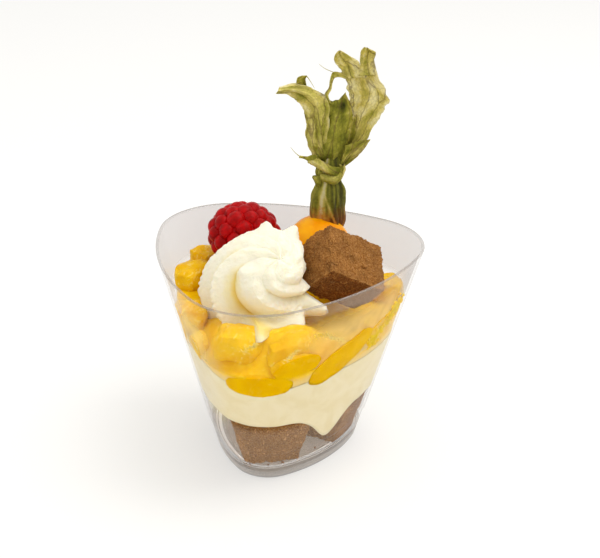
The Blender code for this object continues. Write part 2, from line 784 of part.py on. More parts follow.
def sheath():
    """The gathered foot of the husk: a pleated sleeve, drawn in at the knot."""
    rows = len(SHEATH) + 1
    around = SHEATH_PLEATS * 4

    def place(step, row):
        height, width, shift = SHEATH[min(max(row - 1, 0), len(SHEATH) - 1)]
        if row in (0, rows):
            return Vector((shift, 0, height)) * MM
        turn = math.tau * step / around
        pleat = 1 + PLEAT_DEPTH * math.cos(SHEATH_PLEATS * turn + 0.09 * height)
        across = shift + width * pleat * math.cos(turn)
        back = SHEATH_DEPTH * width * pleat * math.sin(turn)
        return Vector((across, back, height)) * MM

    return at("physalis_husk", wrap(around, rows, place), "husk", HUSK_AT, turned(z=HUSK_TURN))


def husk():
    """The dried husk: sheath and leaves joined into one body, hollowed under to sit on the berry."""
    obj = boolean(sheath(), "DIFFERENCE", [physalis_berry(GAP)])
    leaves = [leaf(name) for name in HUSK_LEAVES]
    return fill_hollows(boolean(obj, "UNION", leaves, "MANIFOLD"))


def glass_axis():
    """The empty that sets the glass so that the box of its rim is centred on the origin."""
    axis = bpy.data.objects.new("glass_axis", None)
    rim = outline(GLASS_HEIGHT - WALL / 2, 0.0)
    axis.location.y = -(min(point.y for point in rim) + max(point.y for point in rim)) / 2
    bpy.context.scene.collection.objects.link(axis)


def swirl():
    """The rosette, pressed against what it sits on and leans on."""
    cutters = [mango_piece(number, PIECE_ROOM) for number in ROSETTE_NEIGHBOURS]
    cutters += [sauce_heap("heap", GAP), cake_top(CAKE_ROOM), raspberry(GAP), physalis_berry(GAP)]
    return fill_hollows(boolean(rosette(), "DIFFERENCE", cutters))


clear_scene()
glass_axis()
glass()
floor_cakes()
custard()
mango()
sauce()
cake_top()
raspberry()
physalis_berry()
swirl()
husk()
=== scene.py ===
# %% [markdown]
# # A chocolate, custard and mango dessert in a three-cornered glass
# A clear tumbler holds cake pieces, custard cream and mango in its own sauce. A piped rosette of cream, a
# raspberry, a physalis that still wears its dried husk and one more piece of cake sit on top. The solid
# model is already packed: this file dresses it. We start by loading it as a frame. Nothing that we add
# may reach beyond it.

# %% Load the imported model
import math
import random

import bmesh
import bpy
from mathutils import Matrix, Vector, noise


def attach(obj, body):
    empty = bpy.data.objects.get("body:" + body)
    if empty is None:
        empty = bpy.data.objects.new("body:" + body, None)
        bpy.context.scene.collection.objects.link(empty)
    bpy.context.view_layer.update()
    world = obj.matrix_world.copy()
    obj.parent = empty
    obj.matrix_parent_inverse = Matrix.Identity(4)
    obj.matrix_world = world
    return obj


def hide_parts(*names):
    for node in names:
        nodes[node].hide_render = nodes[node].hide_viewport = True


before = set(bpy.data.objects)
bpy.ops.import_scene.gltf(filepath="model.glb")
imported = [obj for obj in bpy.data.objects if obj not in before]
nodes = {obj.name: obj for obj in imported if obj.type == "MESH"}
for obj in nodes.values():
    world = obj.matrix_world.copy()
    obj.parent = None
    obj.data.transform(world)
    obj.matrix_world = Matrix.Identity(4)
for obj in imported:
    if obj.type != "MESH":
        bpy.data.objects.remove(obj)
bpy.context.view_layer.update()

MM = 0.001
print(len(nodes), "nodes in the frame")

# %% [markdown]
# ## The glass as a formula
# Seen from above the glass is a rounded triangle: three tight corner arcs joined by three flat side arcs.
# It could be drawn once and scaled, but the corners grow at another rate than the sides, so a small
# function that gives the distance from the axis to the wall, at any height and bearing, serves every
# piece: the tumbler itself, the layers that fill it, and the fruit that is pressed against it.

# %% The wall's distance from the axis
GLASS_HEIGHT = 62.7 * MM
WALL = 0.85 * MM
# At the foot and at the rim: the way out to a corner and to a flat side, and the corner's own radius.
CORNER_REACH = (23.9 * MM, 42.5 * MM)
SIDE_REACH = (19.6 * MM, 35.0 * MM)
CORNER_RADIUS = (11.4 * MM, 21.5 * MM)
STEP_HEIGHT = 9.6 * MM
STEP_RISE = 1.0 * MM
STEP_INSET = 0.35 * MM
FLOOR_TOP = 3.4 * MM
FLOOR_UNDER = 1.7 * MM
SIXTH = math.pi / 3


def mix(low, high, share):
    """From low to high as the share goes from 0 to 1."""
    return low + (high - low) * share


def smooth(share):
    """The share, held between 0 and 1, with a soft start and a soft end."""
    share = min(1.0, max(0.0, share))
    return share * share * (3 - 2 * share)


def bump(value, middle, width):
    """1 at the middle, and falling off to 0 on both sides of it."""
    return math.exp(-(((value - middle) / width) ** 2))


def angle_between(first, second):
    return (first - second + math.pi) % math.tau - math.pi


def bent(angle, reach):
    """The point at this bearing and distance from the axis, at height 0."""
    return Vector((math.cos(angle) * reach, math.sin(angle) * reach, 0))


def wall_reach(height, bearing, inset=0.0):
    """Distance from the glass's axis to its outer face, or to a face that lies this far inside it."""
    share = height / GLASS_HEIGHT
    corner = mix(*CORNER_RADIUS, share)
    corner_out = mix(*CORNER_REACH, share) - corner
    slack = mix(*SIDE_REACH, share) - corner
    side_back = (slack**2 - corner_out**2) / (corner_out - 2 * slack)
    side = math.sqrt(corner_out**2 + side_back**2 + corner_out * side_back) + corner
    half = math.atan2(side_back * math.sin(SIXTH), corner_out + side_back * math.cos(SIXTH))
    turn = abs(angle_between((bearing + math.pi / 2) % (2 * SIXTH), 0.0))
    turn = min(turn, 2 * SIXTH - turn)
    if turn <= math.atan2(corner * math.sin(half), corner_out + corner * math.cos(half)):
        across = corner_out * math.sin(turn)
        return corner_out * math.cos(turn) + math.sqrt((corner - inset) ** 2 - across**2)
    turn = SIXTH - turn
    return math.sqrt((side - inset) ** 2 - (side_back * math.sin(turn)) ** 2) - side_back * math.cos(turn)


# The frame's origin is under the middle of the glass's box, so the glass's axis stands a little behind it.
FRONT = -math.pi / 2
lip_height = GLASS_HEIGHT - WALL / 2
GLASS_Y = (wall_reach(lip_height, FRONT) - wall_reach(lip_height, -FRONT)) / 2
rim_reach = wall_reach(GLASS_HEIGHT, FRONT)
print("rim", round(rim_reach / MM, 1), "mm to a corner; axis at y", round(GLASS_Y / MM, 2))

# %% [markdown]
# ## The camera
# The photograph looks down at about 34 degrees, from a little to the right. Its place was found by fitting
# the rim and the foot. A small turn of the camera, and no lens shift, puts the glass where it is in the
# frame: the camera looks along the line on which the middle of the foot is seen.

# %% Set the camera
CAMERA_RISE = 0.5894
CAMERA_BEARING = math.radians(15.94)
CAMERA_DISTANCE = 328.2 * MM
LENS_PIXELS = 1044.02
FOOT_PIXEL = (280.07, 433.75)
FRAME_SIZE = (600, 558)
SENSOR = 36.0

back = bent(CAMERA_BEARING - math.pi / 2, math.cos(CAMERA_RISE)) + Vector((0, 0, math.sin(CAMERA_RISE)))
right = bent(CAMERA_BEARING, 1.0)
level_look = Matrix((right, back.cross(right), back))
aim = Vector((FOOT_PIXEL[0] - FRAME_SIZE[0] / 2, FRAME_SIZE[1] / 2 - FOOT_PIXEL[1], -LENS_PIXELS))
look = Vector((0, 0, -1)).rotation_difference(aim.normalized()).to_matrix() @ level_look
eye = Vector((0, GLASS_Y, 0)) + back * CAMERA_DISTANCE
camera = bpy.data.objects.new("camera", bpy.data.cameras.new("camera"))
camera.data.lens = LENS_PIXELS / FRAME_SIZE[0] * SENSOR
camera.data.sensor_width = SENSOR
camera.data.clip_start = 0.01
camera.matrix_world = Matrix.Translation(eye) @ look.transposed().to_4x4()
bpy.context.scene.collection.objects.link(camera)
bpy.context.scene.camera = camera
print("camera at", [round(value / MM) for value in eye])

# %% [markdown]
# ## The floor
# The glass stands on white. A white floor alone would turn grey under so soft a light, so it also shines a
# little by itself, and its shadows stay pale. The view transform is the plain one, because the default
# would grey the white ground and dull the mango.

# %% Lay the floor
WARM_WHITE = (1.0, 0.995, 0.985, 1)
FLOOR_LOOK = {
    "Base Color": (0.5, 0.495, 0.48, 1),
    "Emission Color": WARM_WHITE,
    "Emission Strength": 0.44,
    "Roughness": 0.9,
    "Specular IOR Level": 0.1,
}

bpy.context.scene.view_settings.view_transform = "Standard"
floor_mesh = bmesh.new()
bmesh.ops.create_grid(floor_mesh, x_segments=1, y_segments=1, size=2.0)
floor_data = bpy.data.meshes.new("floor")
floor_mesh.to_mesh(floor_data)
floor_mesh.free()
floor = bpy.data.objects.new("floor", floor_data)
bpy.context.scene.collection.objects.link(floor)
floor_paint = bpy.data.materials.new("floor_paint")
floor_paint.use_nodes = True
for socket, value in FLOOR_LOOK.items():
    floor_paint.node_tree.nodes["Principled BSDF"].inputs[socket].default_value = value
floor.data.materials.append(floor_paint)
print("floor of", round(floor.dimensions.x, 1), "m")

# %% [markdown]
# ## The light
# A studio's white walls light the dessert from all sides and fill every shadow. An image of a studio could
# do that, but a plain surround that is brighter above than below is enough. One large soft lamp above and
# behind models the fruit, and a weak one fills in from the left.

# %% Light it with a surround and two lamps
SURROUND_BELOW = 0.66
SURROUND_ABOVE = 1.08
LAMP_TARGET = Vector((0, 0, 0.04))

surround = bpy.data.worlds.new("surround")
surround.use_nodes = True
background = surround.node_tree.nodes["Background"]
direction = surround.node_tree.nodes.new("ShaderNodeTexCoord").outputs["Generated"]
level = surround.node_tree.nodes.new("ShaderNodeSeparateXYZ")
brightness = surround.node_tree.nodes.new("ShaderNodeMapRange")
brightness.inputs["To Min"].default_value = SURROUND_BELOW
brightness.inputs["To Max"].default_value = SURROUND_ABOVE
surround.node_tree.links.new(direction, level.inputs[0])
surround.node_tree.links.new(level.outputs["Z"], brightness.inputs["Value"])
surround.node_tree.links.new(brightness.outputs[0], background.inputs["Strength"])
background.inputs["Color"].default_value = WARM_WHITE
bpy.context.scene.world = surround


def lamp(name, place, size, power, colour=(1, 1, 1)):
    """A square soft box that faces the dessert."""
    light = bpy.data.lights.new(name, "AREA")
    light.size = size
    light.energy = power
    light.color = colour
    holder = bpy.data.objects.new(name, light)
    holder.location = place
    holder.rotation_euler = (LAMP_TARGET - Vector(place)).to_track_quat("-Z", "Y").to_euler()
    bpy.context.scene.collection.objects.link(holder)
    print(name, power, "watts")


lamp("soft_box_above", (0.32, 0.12, 0.68), 0.4, 2.4, (1.0, 0.985, 0.96))
lamp("fill_left", (-0.5, -0.25, 0.45), 0.5, 0.3)

# %% [markdown]
# ## Skins of rings
# Most pieces of this dessert are closed skins that go round an axis. An editor's way would be to start
# from a circle, extrude it again and again and move each new ring. ring_skin does just that, and asks a
# function where each ring goes.

# %% Make a skin of rings
def ring_skin(around, rows, place):
    """A closed skin from a circle that is extruded ring by ring; place gives a ring's points."""
    bm = bmesh.new()
    bearing = bm.verts.layers.float.new("bearing")
    verts = bmesh.ops.create_circle(bm, segments=around, radius=1.0)["verts"]
    edges = bm.edges[:]
    for vert in verts:
        vert[bearing] = math.atan2(vert.co.y, vert.co.x)
    for row in range(rows):
        if row:
            grown = bmesh.ops.extrude_edge_only(bm, edges=edges)["geom"]
            verts = [part for part in grown if isinstance(part, bmesh.types.BMVert)]
            edges = [part for part in grown if isinstance(part, bmesh.types.BMEdge) and part.is_boundary]
        for vert in verts:
            vert.co = place(vert[bearing], row)
    bmesh.ops.remove_doubles(bm, verts=bm.verts, dist=1e-6)
    return bm


# %% [markdown]
# ## One way to add a piece
# Every finished piece is put in the scene in one way. Its place is in its mesh, so the object itself stays
# at the origin; it rides on the dessert's one body, takes the finishes that it is given, and hides the
# imported solids that it stands in for.

# %% Put a piece in the scene
def put(name, bm, materials, replaced=()):
    """Make the mesh an object of the dessert."""
    bmesh.ops.translate(bm, verts=bm.verts, vec=(0, GLASS_Y, 0))
    bmesh.ops.recalc_face_normals(bm, faces=bm.faces)
    for face in bm.faces:
        face.smooth = True
    mesh = bpy.data.meshes.new(name)
    bm.to_mesh(mesh)
    bm.free()
    for material in materials:
        mesh.materials.append(material)
    piece = bpy.data.objects.new(name, mesh)
    bpy.context.scene.collection.objects.link(piece)
    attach(piece, "root")
    if replaced:
        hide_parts(*replaced)
    print(name, len(mesh.polygons), "faces")


def turned(x=0.0, y=0.0, z=0.0):
    """A turn about x, then y, then z, in degrees."""
    return (
        Matrix.Rotation(math.radians(z), 4, "Z")
        @ Matrix.Rotation(math.radians(y), 4, "Y")
        @ Matrix.Rotation(math.radians(x), 4, "X")
    )


# %% [markdown]
# ## Food against the wall
# Where wet food lies on the wall it is flat, and no air is left between them. A boolean cut with the glass
# would leave a ragged seam. So each point that is too far out slides back to a face a little inside the
# wall, and the mesh stays whole.

# %% Press a piece on the wall
INTO_WALL = WALL - 0.2 * MM


def inner_inset(height):
    """How far inside the glass's outline the fill's skin lies: a little way into the wall."""
    return INTO_WALL + STEP_INSET * (1 - smooth((height - STEP_HEIGHT) / STEP_RISE))


def press_on_wall(verts, off=0.0):
    """Flatten whatever would stick through the wall: such points slide in to the fill's skin, or off it."""
    for vert in verts:
        reach = math.hypot(vert.co.x, vert.co.y)
        limit = wall_reach(vert.co.z, math.atan2(vert.co.y, vert.co.x), inner_inset(vert.co.z) + off)
        if reach > limit:
            vert.co.x *= limit / reach
            vert.co.y *= limit / reach


# %% [markdown]
# ## Materials from nodes
# A material here is a short chain: the object's own coordinates in millimetres, noise of a known size, a
# ramp that turns it into the colours the food really has, and the same noise again as a bump. A few
# helpers keep each chain short; each finds the tree that it adds to from the socket that it is given.
# Measuring in millimetres makes every scale mean something: crumb is 0.4, the mango's fibre 0.7.

# %% Helpers for node materials
def linear(colour):
    """A colour given on a 0 to 255 scale, as the shader's linear values with full cover."""
    shares = [value / 255 for value in colour]
    bright = [share / 12.92 if share <= 0.04045 else ((share + 0.055) / 1.055) ** 2.4 for share in shares]
    return (*bright, 1)


def node(tree, kind, inputs=None, **settings):
    """Add a node, set its options, and join or set its inputs."""
    made = tree.nodes.new("ShaderNode" + kind)
    for key, value in settings.items():
        setattr(made, key, value)
    for key, value in (inputs or {}).items():
        if isinstance(value, bpy.types.NodeSocket):
            tree.links.new(value, made.inputs[key])
        else:
            made.inputs[key].default_value = value
    return made


def food_material(name, colour, roughness, gloss=0.5, **sockets):
    """A Principled material; gives its tree, its shader and object coordinates in millimetres."""
    made = bpy.data.materials.new(name)
    made.use_nodes = True
    tree = made.node_tree
    shader = tree.nodes["Principled BSDF"]
    sockets = {"Base_Color": linear(colour), "Roughness": roughness, "Specular_IOR_Level": gloss, **sockets}
    for key, value in sockets.items():
        shader.inputs[key.replace("_", " ")].default_value = value
    coordinates = node(tree, "TexCoord").outputs["Object"]
    place = node(tree, "Mapping", {"Vector": coordinates, "Scale": (1 / MM, 1 / MM, 1 / MM)}).outputs[0]
    return made, tree, shader, place


# %% [markdown]
# ## Sums, noise and colours
# In the shader editor each of these is one node or two, joined by hand. Here each is a function that takes
# a socket and gives the next one, so a finish reads as a few sums.

# %% Arithmetic, noise, colours and bumps on nodes
def arithmetic(kind):
    """A helper for one kind of arithmetic on two values, of which the first comes from a node."""

    def combine(first, second):
        return node(first.id_data, "Math", {0: first, 1: second}, operation=kind).outputs[0]

    return combine


plus, minus, times, larger, power = map(arithmetic, ("ADD", "SUBTRACT", "MULTIPLY", "MAXIMUM", "POWER"))


def grain(place, size, detail=3.0, roughness=0.55, distortion=0.0):
    """Noise whose lumps measure about this many millimetres, from 0 to 1."""
    settings = {"Vector": place, "Scale": 1 / size, "Detail": detail, "Roughness": roughness}
    return node(place.id_data, "TexNoise", {**settings, "Distortion": distortion}).outputs["Fac"]


def on_points(tree, name):
    """A value that the mesh keeps on each of its points."""
    return node(tree, "Attribute", attribute_name=name).outputs["Fac"]


def ramp(value, stops, interpolation="EASE"):
    """Turn a value into colours; stops are (place, colour on a 0 to 255 scale)."""
    made = node(value.id_data, "ValToRGB", {"Fac": value})
    made.color_ramp.interpolation = interpolation
    elements = made.color_ramp.elements
    while len(elements) < len(stops):
        elements.new(0.5)
    for element, (at, colour) in zip(elements, stops):
        element.position = at
        element.color = linear(colour)
    return made.outputs["Color"]


def band(value, low, high, to_low=0.0, to_high=1.0):
    """Stretch the part of a value between low and high over to_low to to_high."""
    settings = {"Value": value, "From Min": low, "From Max": high, "To Min": to_low, "To Max": to_high}
    return node(value.id_data, "MapRange", settings).outputs["Result"]


def blend(share, first, second, kind="MIX"):
    """Mix two colours; the share or the first of them comes from a node."""
    tree = (share if isinstance(share, bpy.types.NodeSocket) else first).id_data
    inputs = {0: share, 6: first, 7: second}
    return node(tree, "Mix", inputs, data_type="RGBA", blend_type=kind).outputs[2]


def paint(shader, colour):
    shader.id_data.links.new(colour, shader.inputs["Base Color"])


def relief(shader, height, depth):
    """A bump whose full height is this many millimetres."""
    made = node(shader.id_data, "Bump", {"Height": height, "Distance": depth * MM})
    shader.id_data.links.new(made.outputs["Normal"], shader.inputs["Normal"])


def scatter(shader, weight, millimetres):
    """Let light wander inside the food: weight, and how far red, green and blue travel."""
    shader.inputs["Subsurface Weight"].default_value = weight
    shader.inputs["Subsurface Radius"].default_value = tuple(value * MM for value in millimetres)
    shader.inputs["Subsurface Scale"].default_value = 1.0


def to_surface(socket):
    """Let this shader be what the surface shows."""
    socket.id_data.links.new(socket, socket.id_data.nodes["Material Output"].inputs["Surface"])

# %% [markdown]
# ## The tumbler
# It is a thin moulded wall with a rounded lip, a small stacking step near the foot and a thick floor that
# stands on a ring. A solid wall with both of its faces is needed, because the lines that show at the lip
# and the foot follow the turns of its thickness: light bends through the foot, and the lines at the lip
# and along the foot's and the floor's edges are painted on those turns. The profile is a list of heights
# and insets, and each of its points becomes one ring.

# %% The tumbler's profile
FLOOR_ROUND = 1.7 * MM
RING_WIDTH = 1.9 * MM
FOOT_ROUND = 0.7 * MM
# Close rings at both sides of a turn keep it crisp when the faces between them are shaded smooth.
CLOSE = 0.15 * MM


def quarter(height, inset, rise, run, steps=4):
    """Points of a quarter-round from (height, inset) to (height + rise, inset + run), level at its end."""
    turns = [math.pi / 2 * step / steps for step in range(steps + 1)]
    return [(height + rise * math.sin(angle), inset + run * (1 - math.cos(angle))) for angle in turns]


def tumbler_profile():
    """(height, inset, share of the way out): from the middle of the foot, outside, to that of the floor."""
    ring_in = STEP_INSET + FOOT_ROUND + RING_WIDTH
    lip = WALL / 2
    floor_turn = FLOOR_TOP + FLOOR_ROUND
    step_top = STEP_HEIGHT + STEP_RISE
    points = [(FLOOR_UNDER, ring_in + FOOT_ROUND * 1.6), (FLOOR_UNDER - 0.4 * MM, ring_in + FOOT_ROUND)]
    points += [(0.12 * MM, ring_in + 0.2 * MM), (0.0, ring_in), (0.0, STEP_INSET + FOOT_ROUND)]
    points += quarter(FOOT_ROUND, STEP_INSET, -FOOT_ROUND, FOOT_ROUND)[-2::-1]
    outside = (2.2 * MM, floor_turn, floor_turn + 2 * CLOSE, STEP_HEIGHT - CLOSE, STEP_HEIGHT)
    points += [(high, STEP_INSET) for high in outside]
    points += [(STEP_HEIGHT + STEP_RISE * 0.5, STEP_INSET * 0.5), (step_top, 0.0), (step_top + CLOSE, 0.0)]
    wall = [mix(step_top + 1 * MM, GLASS_HEIGHT - lip - CLOSE, step / 8) for step in range(9)]
    points += [(high, 0.0) for high in wall]
    rounded = quarter(GLASS_HEIGHT - lip, 0.0, lip, lip)
    points += rounded + [(high, WALL - inset) for high, inset in rounded[-2::-1]]
    points += [(high, WALL) for high in (*wall[::-1], step_top + CLOSE, step_top)]
    inner = WALL + STEP_INSET
    points += [(STEP_HEIGHT + STEP_RISE * 0.5, WALL + STEP_INSET * 0.5), (STEP_HEIGHT, inner)]
    points += quarter(floor_turn, inner, -FLOOR_ROUND, FLOOR_ROUND, 6)
    rings = [(high, inset, 1.0) for high, inset in points]
    return [(FLOOR_UNDER, WALL, 0.0), *rings, (FLOOR_TOP, WALL, 0.0)]


profile = tumbler_profile()
print(len(profile), "rings from the middle of the foot to that of the floor")

# %% [markdown]
# ## The tumbler's mesh
# Every ring of the profile follows the rounded triangle at its own height. A face takes one of seven
# finishes by where it lies, because what a clear wall shows differs at the lip, the foot and the floor.
# All could be one finish that works this out for itself, but separate ones are easier to set.

# %% Model the tumbler
# All faces stand this much nearer to the axis, so that nothing reaches past the imported box.
CLEARANCE = 0.02 * MM
TUMBLER_AROUND = 192
OUTSIDE, INSIDE, LIP, FOOT, FOOT_EDGE, FLOOR_EDGE_HIGHLIGHT, FLOOR = range(7)


def tumbler_point(bearing, row):
    height, inset, share = profile[row]
    return bent(bearing, wall_reach(height, bearing, inset + CLEARANCE) * share) + Vector((0, 0, height))


def finish_at(middle):
    """Which of the seven finishes a face takes, by where its middle is."""
    reach = wall_reach(middle.z, math.atan2(middle.y, middle.x))
    inside = math.hypot(middle.x, middle.y) < reach - 0.6 * WALL
    above_floor = (middle.z - FLOOR_TOP) / MM
    if middle.z > GLASS_HEIGHT - 0.46 * WALL:
        return LIP
    if above_floor > FLOOR_ROUND / MM:
        return INSIDE if inside else OUTSIDE
    if inside and (0.02 < above_floor < 0.2 or 0.5 < above_floor < 0.8):
        return FLOOR_EDGE_HIGHLIGHT
    if inside and abs(above_floor) < 0.02:
        return FLOOR
    return FOOT_EDGE if middle.z < 0.9 * FOOT_ROUND else FOOT


tumbler_mesh = ring_skin(TUMBLER_AROUND, len(profile), tumbler_point)
for face in tumbler_mesh.faces:
    face.material_index = finish_at(face.calc_center_median())
print(len(tumbler_mesh.faces), "faces")

# %% [markdown]
# ## Clear moulded plastic
# Light goes straight through most of it. Lamps could not light the food through a glass shader, so a thin
# face mixes a plain transparent shader with a shiny one, and takes more of the shiny one where we look
# along the face: its pale grey base colour there is painted reflection, and that alone draws the lip and
# the sides. The thick foot does bend light, but rays from lamps meet a transparent shader there too. The
# lip and the foot's edge have grey tones of their own, painted lines where real plastic bends light. The
# floor's edge is a painted highlight that glows a little, and the floor is tinted as painted shadow.

# %% Finishes of the clear faces
def thin_wall(name, colour, least, most, roughness=0.04):
    """A see-through face: how much of its shader shows goes from least, face on, to most, edge on."""
    made, tree, shader, place = food_material(name, colour, roughness)
    facing = node(tree, "LayerWeight", {"Blend": 0.5}).outputs["Facing"]
    share = band(power(facing, 5.0), 0.0, 1.0, least, most)
    clear = node(tree, "BsdfTransparent", {"Color": (1, 1, 1, 1)}).outputs[0]
    surface = node(tree, "MixShader", {0: share, 1: clear, 2: shader.outputs[0]})
    to_surface(surface.outputs[0])
    return made, tree, shader, place, surface


def thick_clear(name, tint):
    """The foot bends light, but weakly: at least a quarter of what shows comes straight through."""
    made, tree, shader, place = food_material(name, (246, 242, 240), 0.03, IOR=1.4, Transmission_Weight=1.0)
    through = node(tree, "BsdfTransparent", {"Color": (*tint, 1)}).outputs[0]
    facing = node(tree, "LayerWeight", {"Blend": 0.5}).outputs["Facing"]
    bending = band(facing, 0.0, 0.9, 0.25, 0.75)
    seen = node(tree, "MixShader", {0: bending, 1: through, 2: shader.outputs[0]}).outputs[0]
    lamp_ray = node(tree, "LightPath").outputs["Is Shadow Ray"]
    lit = node(tree, "BsdfTransparent", {"Color": (0.96, 0.955, 0.95, 1)}).outputs[0]
    to_surface(node(tree, "MixShader", {0: lamp_ray, 1: seen, 2: lit}).outputs[0])
    return made


finishes = [None] * 7
# The outside shows its grey only edge on, as painted reflection.
finishes[OUTSIDE] = thin_wall("clear_outside", (190, 184, 180), 0.001, 0.55)[0]
# The lip's grey tone is a painted line, where real plastic bends and reflects light.
finishes[LIP] = thin_wall("clear_lip", (152, 143, 136), 0.5, 0.9, 0.1)[0]
finishes[FOOT] = thick_clear("clear_foot", (0.74, 0.69, 0.635))
# The floor's dark tint is painted shadow: the shade under the glass, seen through its floor.
finishes[FLOOR] = thick_clear("clear_floor", (0.46, 0.39, 0.34))
# The foot edge's dark tone is a painted line, where real plastic bends and reflects light.
finishes[FOOT_EDGE] = thin_wall("clear_foot_edge", (104, 93, 84), 0.4, 0.85, 0.1)[0]
# The floor's edge is a painted highlight: two thin white bands that also glow a little by themselves.
finishes[FLOOR_EDGE_HIGHLIGHT], tree, shader = thin_wall("clear_floor_edge_highlight", (255, 254, 252), 0.7, 0.95, 0.1)[:3]
shader.inputs["Emission Color"].default_value = (1.0, 0.99, 0.97, 1)
shader.inputs["Emission Strength"].default_value = 0.45
print(sum(finish is not None for finish in finishes), "clear finishes")

# %% [markdown]
# ## The film on the inside of the wall
# The inside is not quite clean. Above the food it is dulled by a mist of moisture, and on the near side a
# veil of pale yellow juice and cream was left where food slid down. Both could be thin sheets, but nobody
# would see their thickness. So they are a share of the inner face's own shader, and that share is worked
# out from the place alone: how high, how far to the left, the right or the front, and how cloudy it is
# there.

# %% The mist and the veil
# Each band: from and to, in millimetres or as a share, and what it becomes there (0 and 1 if not given).
MIST_BY_HEIGHT = (45.0, 50.0, 0.0, 0.43)
MIST_AT_FRONT = (0.0, 1.0, 1.0, 0.15)
MIST_NEAR_RIGHT = (0.0, 1.0, 1.0, 0.78)
LOW_HAZE = (21.0, 18.0, 0.0, 0.2)
VEIL_FOOT = (34.0, 38.0)
VEIL_TOP = (62.0, 55.0)
VEIL_CLOUDS = (0.3, 0.65, 0.27, 0.46)
VEIL_OFF_MIDDLE = (8.0, 18.0, 0.22, 1.35)
# Higher up, the veil is partly juice and partly painted light over the shaded gap under the rosette.
VEIL_HIGH_OVER_SHADE = (52.0, 57.0, 0.22, 0.9)
VEIL_AT_RIGHT = (0.0, 1.0, 0.9, 1.2)
MIDDLE_ACROSS = 3.0
# A point is on the camera's side by its distance to the front and this share of that to the right.
RIGHT_SHARE = 0.286

finishes[INSIDE], tree, shader, place, surface = thin_wall("hazed_inside", (180, 173, 168), 0.03, 0.5, 0.35)
cloudy = grain(place, 7.0, 2.0, 0.5)
across, inward, height = node(tree, "SeparateXYZ", {"Vector": place}).outputs
to_front = band(inward, -20.0, -30.0)
to_left = band(across, -19.0, -27.0)
to_right = band(across, 10.0, 20.0)
near_side = band(minus(times(across, RIGHT_SHARE), inward), 3.0, 9.0)
mist = band(height, *MIST_BY_HEIGHT)
mist = times(mist, band(to_front, *MIST_AT_FRONT))
mist = times(mist, band(times(near_side, to_right), *MIST_NEAR_RIGHT))
mist = larger(mist, band(height, *LOW_HAZE))
low_cream = times(band(height, 13.0, 19.0), band(across, -6.0, -10.0))
low_cream = times(low_cream, band(height, 32.0, 27.0))
ragged_height = plus(height, times(cloudy, 8.0))
ragged_height = plus(ragged_height, times(to_left, 10.0))
veil_top = band(minus(ragged_height, times(to_right, 1.5)), *VEIL_TOP)
veil = times(band(height, *VEIL_FOOT), veil_top)
veil = times(veil, band(cloudy, *VEIL_CLOUDS))
off_middle = node(tree, "Math", {0: minus(across, MIDDLE_ACROSS)}, operation="ABSOLUTE").outputs[0]
# In the middle, the veil stays only high up, where it also paints light over the shade under the rosette.
veil = times(veil, larger(band(off_middle, *VEIL_OFF_MIDDLE), band(height, *VEIL_HIGH_OVER_SHADE)))
veil = times(veil, band(to_right, *VEIL_AT_RIGHT))
veil = larger(veil, times(low_cream, 0.22))
veil = times(veil, near_side)
veiled = minus(veil, times(to_left, 0.3))
mist = times(mist, band(veiled, 0.1, 0.3, 1.0, 0.0))
tree.links.new(larger(mist, veil), surface.inputs[0])
veil_tint = blend(to_right, linear((252, 228, 92)), linear((246, 208, 112)))
veil_share = band(minus(veil, mist), -0.1, 0.1)
mist_tint = blend(near_side, linear((180, 173, 168)), linear((218, 194, 164)))
paint(shader, blend(veil_share, mist_tint, veil_tint))
put("tumbler", tumbler_mesh, finishes, ["glass"])

# %% [markdown]
# ## Chocolate cake
# Three pieces of cake stand on the floor of the glass. Each is a cut block with a fine dry crumb. A cube
# with many cuts, pushed about by noise of several sizes, gives real crags and small holes: a bump map
# alone would leave its outline straight. The crumb's colour is patchy, with pale flecks where crumbs cling
# to the wall.

# %% Cake crumb
PAINTED_LIGHT_STEP = 0.16
cake_brown, tree, shader, place = food_material("cake_crumb", (120, 78, 38), 0.92, 0.25)
crumb = grain(place, 0.42, 3.0, 0.6)
patches = grain(place, 4.0, 3.0)
# The tone from the block paints shade on its underside and a highlight along that underside's edges.
toned = plus(crumb, band(on_points(tree, "tone"), 0.0, 1.0, -PAINTED_LIGHT_STEP, PAINTED_LIGHT_STEP))
browns = [(0.3, (124, 74, 26)), (0.45, (168, 112, 52)), (0.6, (190, 134, 68)), (0.76, (222, 172, 106))]
crumb_colour = ramp(toned, browns)
patch_colour = ramp(patches, [(0.3, (222, 216, 208)), (0.7, (255, 251, 246))])
crumb_colour = blend(1.0, crumb_colour, patch_colour, "MULTIPLY")
flecks = band(grain(place, 0.9, 4.0, 0.75, 1.0), 0.56, 0.64)
low_down = band(node(tree, "SeparateXYZ", {"Vector": place}).outputs["Z"], 45.0, 25.0, 0.35, 0.9)
paint(shader, blend(times(flecks, low_down), crumb_colour, linear((244, 184, 116))))
fine = grain(place, 0.22, 5.0, 0.7)
relief(shader, plus(crumb, fine), 0.5)
print(len(tree.nodes), "nodes in the crumb")

# %% [markdown]
# ## A lumpy block
# Cake and mango start in the same way: a cube is cut into a fine grid, each point moves a little towards a
# ball, which wears the corners, and then outwards or inwards by noise. The editor's way is a cube with a
# subdivision and a displacement modifier. A function does the same in one step, and gives each its own
# seed.

